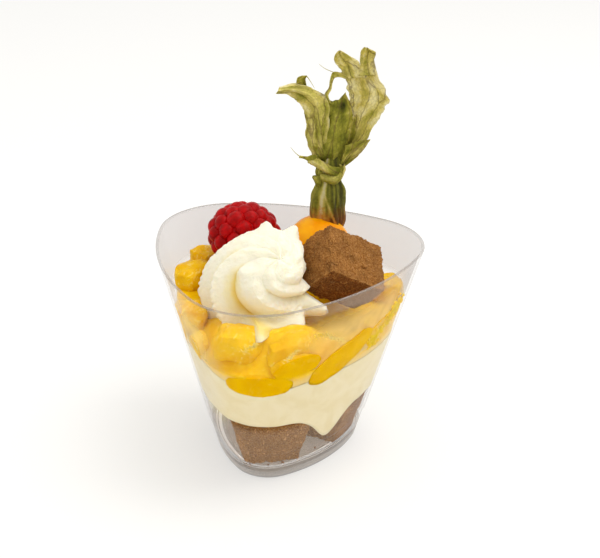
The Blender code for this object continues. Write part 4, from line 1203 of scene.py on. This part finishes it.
# Left edge and right edge, from the foot up in millimetres; belly; tone at the foot and at the tip.
# The tones give each leaf's own colour and also paint its light: pale where light comes through, dark
# behind.
HUSK_LEAVES = {
    "left": (
        ((-2.3, 0, 21), (-5, 0.5, 24.3), (-6.8, 1, 28.4), (-6.8, 1.5, 32.8), (-7.6, 2, 37),
         (-9.5, 1.5, 39.7), (-12.2, 0, 42.1), (-15.6, -2, 43)),
        ((0.1, 0, 21), (0.2, -1.5, 25), (-0.2, -2, 29.4), (-0.3, -1.5, 33.7), (-0.2, 0, 39.3),
         (-3.5, 1, 42.9), (-9.3, 1, 45), (-14.7, -1, 44.4)),
        -1.6, (0.46, 0.68),
    ),
    "left_curl": (
        ((-9.3, 1, 42.5), (-9.7, 1, 44.8), (-9.6, 0, 46.7), (-8.5, -1.5, 47.8)),
        ((-6.4, 1, 42.5), (-6.8, 1, 44.2), (-7.2, 0, 46.4), (-6.9, -1.5, 47.8)),
        0.5, (0.5, 0.5),
    ),
    "middle": (
        ((-3.2, 0, 20.7), (-4.2, -0.5, 25.5), (-4.2, 0, 29.9), (-3.7, 1, 34.5), (-1.7, 2, 37.8),
         (0.1, 2.5, 39.4)),
        ((3.6, 0, 21.4), (4.7, -0.5, 25.6), (5.6, 0, 30), (6.6, 1, 34.8), (6.2, 2, 38.4), (4.3, 3, 42)),
        -3, (0.3, 0.4),
    ),
    "right": (
        ((1, 0, 20.7), (2.7, 0, 24.8), (4, 0.5, 29.2), (4.8, 1.5, 33.8), (5.4, 2.5, 38), (5.6, 3, 42),
         (4.9, 3, 45.5), (3.3, 2.5, 48)),
        ((3.8, 0, 21.2), (7.3, -1.5, 24.5), (10.9, -2.5, 29.3), (13.2, -3, 34.9), (15.3, -3, 38.7),
         (16.4, -2.5, 41.7), (14.3, -1, 46), (12.9, 0, 49.4)),
        2.6, (0.45, 0.85),
    ),
    "right_tip": (
        ((8.2, 1.5, 47.4), (8.2, 1, 50.8), (8.3, 0, 54.1), (9.1, -2, 56.1)),
        ((13.3, -0.5, 48.2), (12.2, 0, 51.8), (12.5, 0, 54.1), (10.8, -2, 55.7)),
        0.8, (0.75, 0.68),
    ),
    "upper_tip": (
        ((4.3, 3, 46.1), (3.1, 3, 48.7), (1.7, 2.5, 50.4), (1, 1.5, 52.7), (2, 0, 54.5)),
        ((10.2, 1, 47.2), (8.4, 1.5, 50.3), (6.7, 1.5, 52.1), (4.7, 1, 53.4), (2.8, 0, 54.6)),
        0.7, (0.8, 0.7),
    ),
    "strand": (
        ((5.4, 3, 46.7), (3.1, 3, 47.6), (0.8, 2.5, 47.9), (-0.1, 2, 45.8), (-0.4, 1.5, 43.6),
         (-1.6, 1, 41.6), (-0.6, 1, 38.6)),
        ((5.5, 3, 45.5), (3.3, 3, 46.5), (1.4, 2.5, 46.5), (0.7, 2, 45.2), (0.4, 1.5, 43.4),
         (-0.5, 1, 41.5), (0.5, 1, 38.9)),
        0, (0.6, 0.6),
    ),
    "left_flap": (
        ((-1.6, -1, 19.5), (-4.4, -2, 21.4), (-6.8, -2.5, 23.3), (-8.9, -3, 24.2)),
        ((-1.1, -1, 23.2), (-4.5, -2, 24.6), (-6.5, -2.5, 24.2), (-8.7, -3, 24.6)),
        -0.5, (0.4, 0.6),
    ),
    "right_flap": (
        ((1.3, -1, 17), (2.7, -2.5, 16.9), (3.7, -3.5, 18.6)),
        ((2.1, -1, 22), (3.5, -2.5, 21.9), (4.2, -3.5, 21)),
        -0.4, (0.35, 0.5),
    ),
    "knot_left": (
        ((3.6, -3.2, 18.2), (0.6, -4.4, 19.3), (-2.2, -4.2, 20.6), (-4.8, -2.6, 21.6), (-6.2, -2, 22.4)),
        ((3.8, -2.6, 21), (0.9, -3.6, 21.6), (-2, -3.4, 23.2), (-4.4, -2, 23.6), (-6.4, -1.6, 23)),
        -0.9, (0.3, 0.62),
    ),
    "knot_right": (
        ((-2.6, -3.6, 17.6), (-0.8, -4.4, 17), (1.6, -4.4, 16.4), (3.6, -3.4, 17.6), (5, -2.4, 20.2)),
        ((-2.8, -3.2, 19.8), (-0.6, -4, 19.4), (1.6, -4, 19), (3.2, -3, 20.2), (4.6, -2, 22.4)),
        -0.8, (0.35, 0.6),
    ),
    "knot_low": (
        ((-2.6, -2.8, 14.2), (-3.6, -2.2, 15.2), (-4.4, -1.6, 16.6), (-4.9, -1.4, 17.4)),
        ((-2.2, -3, 18.2), (-3, -2.6, 18.4), (-3.8, -2, 18.2), (-4.8, -1.4, 17.8)),
        -0.4, (0.3, 0.45),
    ),
    "right_fold": (
        ((3.2, -2, 20.6), (3.9, -2.8, 24), (4.7, -3.2, 27.8)),
        ((3.9, -2, 20.8), (7.7, -3.8, 24.6), (11.9, -4, 30.2)),
        0.8, (0.36, 0.5),
    ),
    "rear": (
        ((-2, 0.5, 20), (-4, 3.5, 24), (-5.5, 5.5, 28.5), (-4, 6.5, 32.5), (-1, 6, 35.5)),
        ((3, 0.5, 20), (6, 3, 23.5), (8.5, 4.5, 28), (8, 6, 32), (4.5, 6.5, 35)),
        1.8, (0.12, 0.2),
    ),
}


def along_curve(points, share):
    """A point on the smooth curve through the points given (Catmull-Rom)."""
    spans = len(points) - 1
    span = min(int(share * spans), spans - 1)
    part = share * spans - span
    before, start = Vector(points[max(span - 1, 0)]), Vector(points[span])
    end, after = Vector(points[span + 1]), Vector(points[min(span + 2, spans)])
    pull_start = (end - before) / 2
    pull_end = (after - start) / 2
    square, cube = part * part, part * part * part
    return (
        start * (2 * cube - 3 * square + 1)
        + pull_start * (cube - 2 * square + part)
        + end * (3 * square - 2 * cube)
        + pull_end * (cube - square)
    )


print(len(HUSK_LEAVES), "sheets in the husk")

# %% [markdown]
# ## One leaf
# A grid is laid between the two edges. Folds run along it, noise crumples it and makes its edges ragged,
# and it is given its thickness last. Its veins follow the leaf, so the grid also gets a UV map: across the
# leaf and along it. A tone on each point lets the material paint shade in the folds and in a hollow, and a
# highlight along the edges.

# %% Make a leaf
LEAF_THICKNESS = 0.3 * MM
FOLDS = 2.6
# Leaves with a hollow painted dark as shade: where across it and where along it.
HOLLOW_SHADE = {"middle": (0.68, 0.8), "right_fold": (0.2, 0.7)}


def leaf_sheet(bm, seed, name):
    """One crumpled leaf with folds along it, ragged edges, a UV map and a tone, as a thin closed sheet."""
    left, right, belly, (foot_tone, tip_tone) = HUSK_LEAVES[name]
    width = (Vector(left[len(left) // 2]) - Vector(right[len(right) // 2])).length
    length = (Vector(left[0]) - Vector(left[-1])).length
    sheet = bmesh.new()
    map_uv = sheet.loops.layers.uv.new("leaf")
    tone = sheet.verts.layers.float.new("tone")
    across, along = max(10, int(width * 4)), max(20, int(length * 3.5))
    grid = bmesh.ops.create_grid(sheet, x_segments=across, y_segments=along, size=0.5)
    for face in sheet.faces:
        for loop in face.loops:
            loop[map_uv].uv = ((loop.vert.co.x + 0.5) * width + seed * 30, (loop.vert.co.y + 0.5) * length)
    for vert in grid["verts"]:
        side = vert.co.x + 0.5
        share = vert.co.y + 0.5
        rim = abs(2 * side - 1)
        edge = 0.08 * noise.noise(Vector((share * length * 0.5, seed * 5.1, side * 2))) * rim**4
        edge += 0.025 * noise.noise(Vector((share * length * 2.2, seed * 3.1, side * 2))) * rim**8
        spot = along_curve(left, share).lerp(along_curve(right, share), side + edge)
        wander = 0.45 * noise.noise(Vector((share * length / 7, seed * 1.7, side * 1.5)))
        fold = abs(((side * FOLDS * min(1.0, width / 6) + wander) % 1.0) * 2 - 1)
        flat = Vector((side * width, share * length, seed * 9.0))
        crumple = 0.4 * noise.noise(flat / 2.2) + 0.3 * abs(noise.noise(flat / 1.0))
        wave = 0.09 * width * noise.noise(Vector((side * 2.3, share * 4.1, seed * 2.7)))
        depth = (fold - 0.5) * min(1.0, width * 0.12) + crumple + wave
        spot.y += belly * (1 - (2 * side - 1) ** 2) * smooth(share * 4) + depth * smooth(share * 6)
        # The tone paints shade by the folds and in a hollow, and a highlight along the edges, over random
        # patches.
        shade = 0.16 * (0.5 - fold) + 0.3 * noise.noise(flat / 3.0) + 0.16 * rim**6
        if name in HOLLOW_SHADE:
            shade -= 0.4 * bump(side, HOLLOW_SHADE[name][0], 0.14) * bump(share, HOLLOW_SHADE[name][1], 0.12)
        vert[tone] = mix(foot_tone, tip_tone, smooth(share * 1.5)) + shade
        vert.co = spot * MM
    bmesh.ops.solidify(sheet, geom=sheet.faces, thickness=LEAF_THICKNESS)
    data = bpy.data.meshes.new("leaf")
    sheet.to_mesh(data)
    sheet.free()
    bm.from_mesh(data)
    bpy.data.meshes.remove(data)


# %% [markdown]
# ## The sheath
# Below the knot the leaves have grown together into a closed, pleated sheath. A tube could be bought for
# it from a curve with a bevel, but its pleats change on the way up, so it is rings again: a smooth curve
# gives each ring's height, width and shift, and waves round the ring make the pleats. The leaves join its
# mesh.

# %% Model the sheath and add the leaves
SHEATH = (
    (0.5, 4.4, -0.2), (3.5, 5.1, -0.2), (7.0, 5.1, -0.2), (11.0, 4.9, 0.0), (14.0, 4.2, 0.2),
    (16.4, 3.4, 0.2), (19.0, 4.0, 0.2), (21.5, 3.2, 0.5), (24.0, 2.2, 0.6),
)
SHEATH_AROUND = 120
SHEATH_PLEATS = 5
SHEATH_ROWS = 60
STRIPE_AT = math.radians(-114)
DARK_SIDE = math.radians(-55)


def sheath_point(turn, row):
    share = min(max(row - 1, 0), SHEATH_ROWS - 2) / (SHEATH_ROWS - 2)
    height, width, shift = along_curve(SHEATH, share)
    if row in (0, SHEATH_ROWS):
        return Vector((shift, 0, height)) * MM
    twist = turn + 0.05 * height
    pleat = 1 + 0.07 * math.cos(SHEATH_PLEATS * turn + 0.09 * height)
    pleat += 0.05 * abs(math.sin(5.5 * twist + noise.noise(Vector((0, 3, height / 5)))))
    pleat += 0.12 * noise.noise(bent(turn, 2.0) + Vector((0, 0, height / 5)))
    pleat += 0.02 * math.cos(17 * twist + 3 * noise.noise(Vector((0, 0, height / 4))))
    across, out = width * pleat * math.cos(turn), 0.86 * width * pleat * math.sin(turn)
    return Vector((shift + across, out, height)) * MM


husk = ring_skin(SHEATH_AROUND, SHEATH_ROWS + 1, sheath_point)
husk.loops.layers.uv.new("leaf")
sheath_tone = husk.verts.layers.float.new("tone")
bearing_of = husk.verts.layers.float["bearing"]
for vert in husk.verts:
    turn = vert[bearing_of]
    stripe = bump(angle_between(turn, STRIPE_AT), 0, 0.22)
    dark = bump(angle_between(turn, DARK_SIDE), 0, 0.6)
    lap = math.radians(-96 + 4.65 * (10.8 - vert.co.z / MM))
    lap_edge = bump(angle_between(turn, lap), 0, 0.08) * smooth((14 - vert.co.z / MM) / 3)
    streak = noise.noise(bent(turn, 6.0) + Vector((0, 0, vert.co.z / (9 * MM))))
    vert[sheath_tone] = 0.34 + 0.62 * stripe - 0.26 * dark + 0.5 * lap_edge + 0.34 * streak
for seed, name in enumerate(HUSK_LEAVES):
    leaf_sheet(husk, seed, name)
print(len(husk.faces), "faces in the sheath and the leaves")

# %% [markdown]
# ## Loose threads
# A few dry fibres hang in the air beside the leaves. A hair system would be too much for three of them.
# Each is a row of small rings along a smooth curve, bridged one to the next, that narrows to its end.

# %% Hang the threads
THREADS = (
    ((5.0, 2.5, 46.3), (1.5, 1.8, 47.8), (-1.6, 1.0, 49.3), (-3.4, 0.3, 50.8)),
    ((-7.0, -1.0, 47.8), (-6.0, -1.6, 46.6), (-4.6, -2.2, 44.4)),
    ((-8.6, -3.0, 24.3), (-10.0, -3.3, 25.6), (-11.4, -3.6, 27.4)),
)
THREAD_WIDTH = 0.16
THREAD_STEPS = 12


def thread(bm, points):
    """A dry fibre: a thin five-sided strand through a few points."""
    tone = bm.verts.layers.float["tone"]
    spots = [along_curve(points, step / THREAD_STEPS) for step in range(THREAD_STEPS + 1)]
    before = None
    for step, spot in enumerate(spots):
        onward = (spots[min(step + 1, THREAD_STEPS)] - spots[max(step - 1, 0)]).normalized()
        radius = THREAD_WIDTH * (1 - 0.75 * step / THREAD_STEPS)
        capped = step in (0, THREAD_STEPS)
        ring = bmesh.ops.create_circle(bm, segments=5, radius=radius, cap_ends=capped)["verts"]
        moved = Matrix.Translation(spot * MM) @ Matrix.Scale(MM, 4) @ facing(onward)
        bmesh.ops.transform(bm, verts=ring, matrix=moved)
        for vert in ring:
            vert[tone] = 0.6
        edges = list({edge for vert in ring for edge in vert.link_edges})
        if before:
            bmesh.ops.bridge_loops(bm, edges=before + edges)
        before = edges


for points in THREADS:
    thread(husk, points)
husk.transform(Matrix.Translation(HUSK_AT) @ turned(z=HUSK_TURN))
print(len(husk.faces), "faces with the threads")

# %% [markdown]
# ## The husk's finish
# Dry leaf is brown near the berry, and goes from olive to straw with its tone: the olive of folds and
# hollows is painted shade, and the straw where a leaf is thin is partly painted light. Its veins are the
# edges of
# Voronoi cells: large ones stretched along the leaf for the main veins, small ones for the net between
# them. Some light comes through so thin a skin, so a part of the shader is translucent.

# %% Finish the husk
HUSK_COLOURS = [
    (0.0, (62, 66, 8)), (0.25, (124, 126, 26)), (0.5, (182, 176, 62)), (0.75, (232, 218, 120)),
    (1.0, (255, 246, 190)),
]
FOOT_COLOURS = [(0.1, (112, 60, 6)), (0.6, (226, 146, 48))]
LIGHT_THROUGH = 0.3

papery, tree, shader, place = food_material("dried_husk", (168, 160, 84), 0.6, 0.25)
leaf_map = node(tree, "UVMap", uv_map="leaf").outputs[0]
stretched = node(tree, "Mapping", {"Vector": leaf_map, "Scale": (1.0, 0.6, 1.0)}).outputs[0]
wandering = node(tree, "TexNoise", {"Vector": leaf_map, "Scale": 0.5, "Detail": 2.0}).outputs["Color"]
bent_map = node(tree, "VectorMath", {0: stretched, 1: wandering}, operation="ADD").outputs[0]
height = node(tree, "SeparateXYZ", {"Vector": place}).outputs["Z"]
tone = on_points(tree, "tone")
fleck = minus(grain(place, 1.1, 4.0, 0.65), 0.5)
toned = plus(tone, times(fleck, 0.5))
coloured = ramp(toned, HUSK_COLOURS, "LINEAR")
foot_share = band(plus(height, times(fleck, 8.0)), 69.0, 65.0)
coloured = blend(foot_share, coloured, ramp(toned, FOOT_COLOURS))


def veins(leaf_place, scale, width):
    cells = {"Vector": leaf_place, "Scale": scale, "Randomness": 1.0}
    edge = node(tree, "TexVoronoi", cells, feature="DISTANCE_TO_EDGE").outputs["Distance"]
    return band(edge, 0.0, width, 1.0, 0.0)


long_map = node(tree, "Mapping", {"Vector": bent_map, "Scale": (1.0, 0.3, 1.0)}).outputs[0]
main_vein = veins(long_map, 0.26, 0.03)
net = veins(bent_map, 1.1, 0.12)
veined = blend(times(main_vein, 0.55), coloured, linear((122, 86, 58)))
veined = blend(times(net, 0.25), veined, linear((120, 104, 50)))
paint(shader, veined)
ridges = plus(main_vein, times(net, 0.4))
relief(shader, plus(ridges, grain(place, 0.5, 4.0)), 0.2)
translucent = node(tree, "BsdfTranslucent", {"Color": veined}).outputs[0]
to_surface(node(tree, "MixShader", {0: LIGHT_THROUGH, 1: shader.outputs[0], 2: translucent}).outputs[0])
put("papery_husk", husk, [papery], ["physalis_husk"])
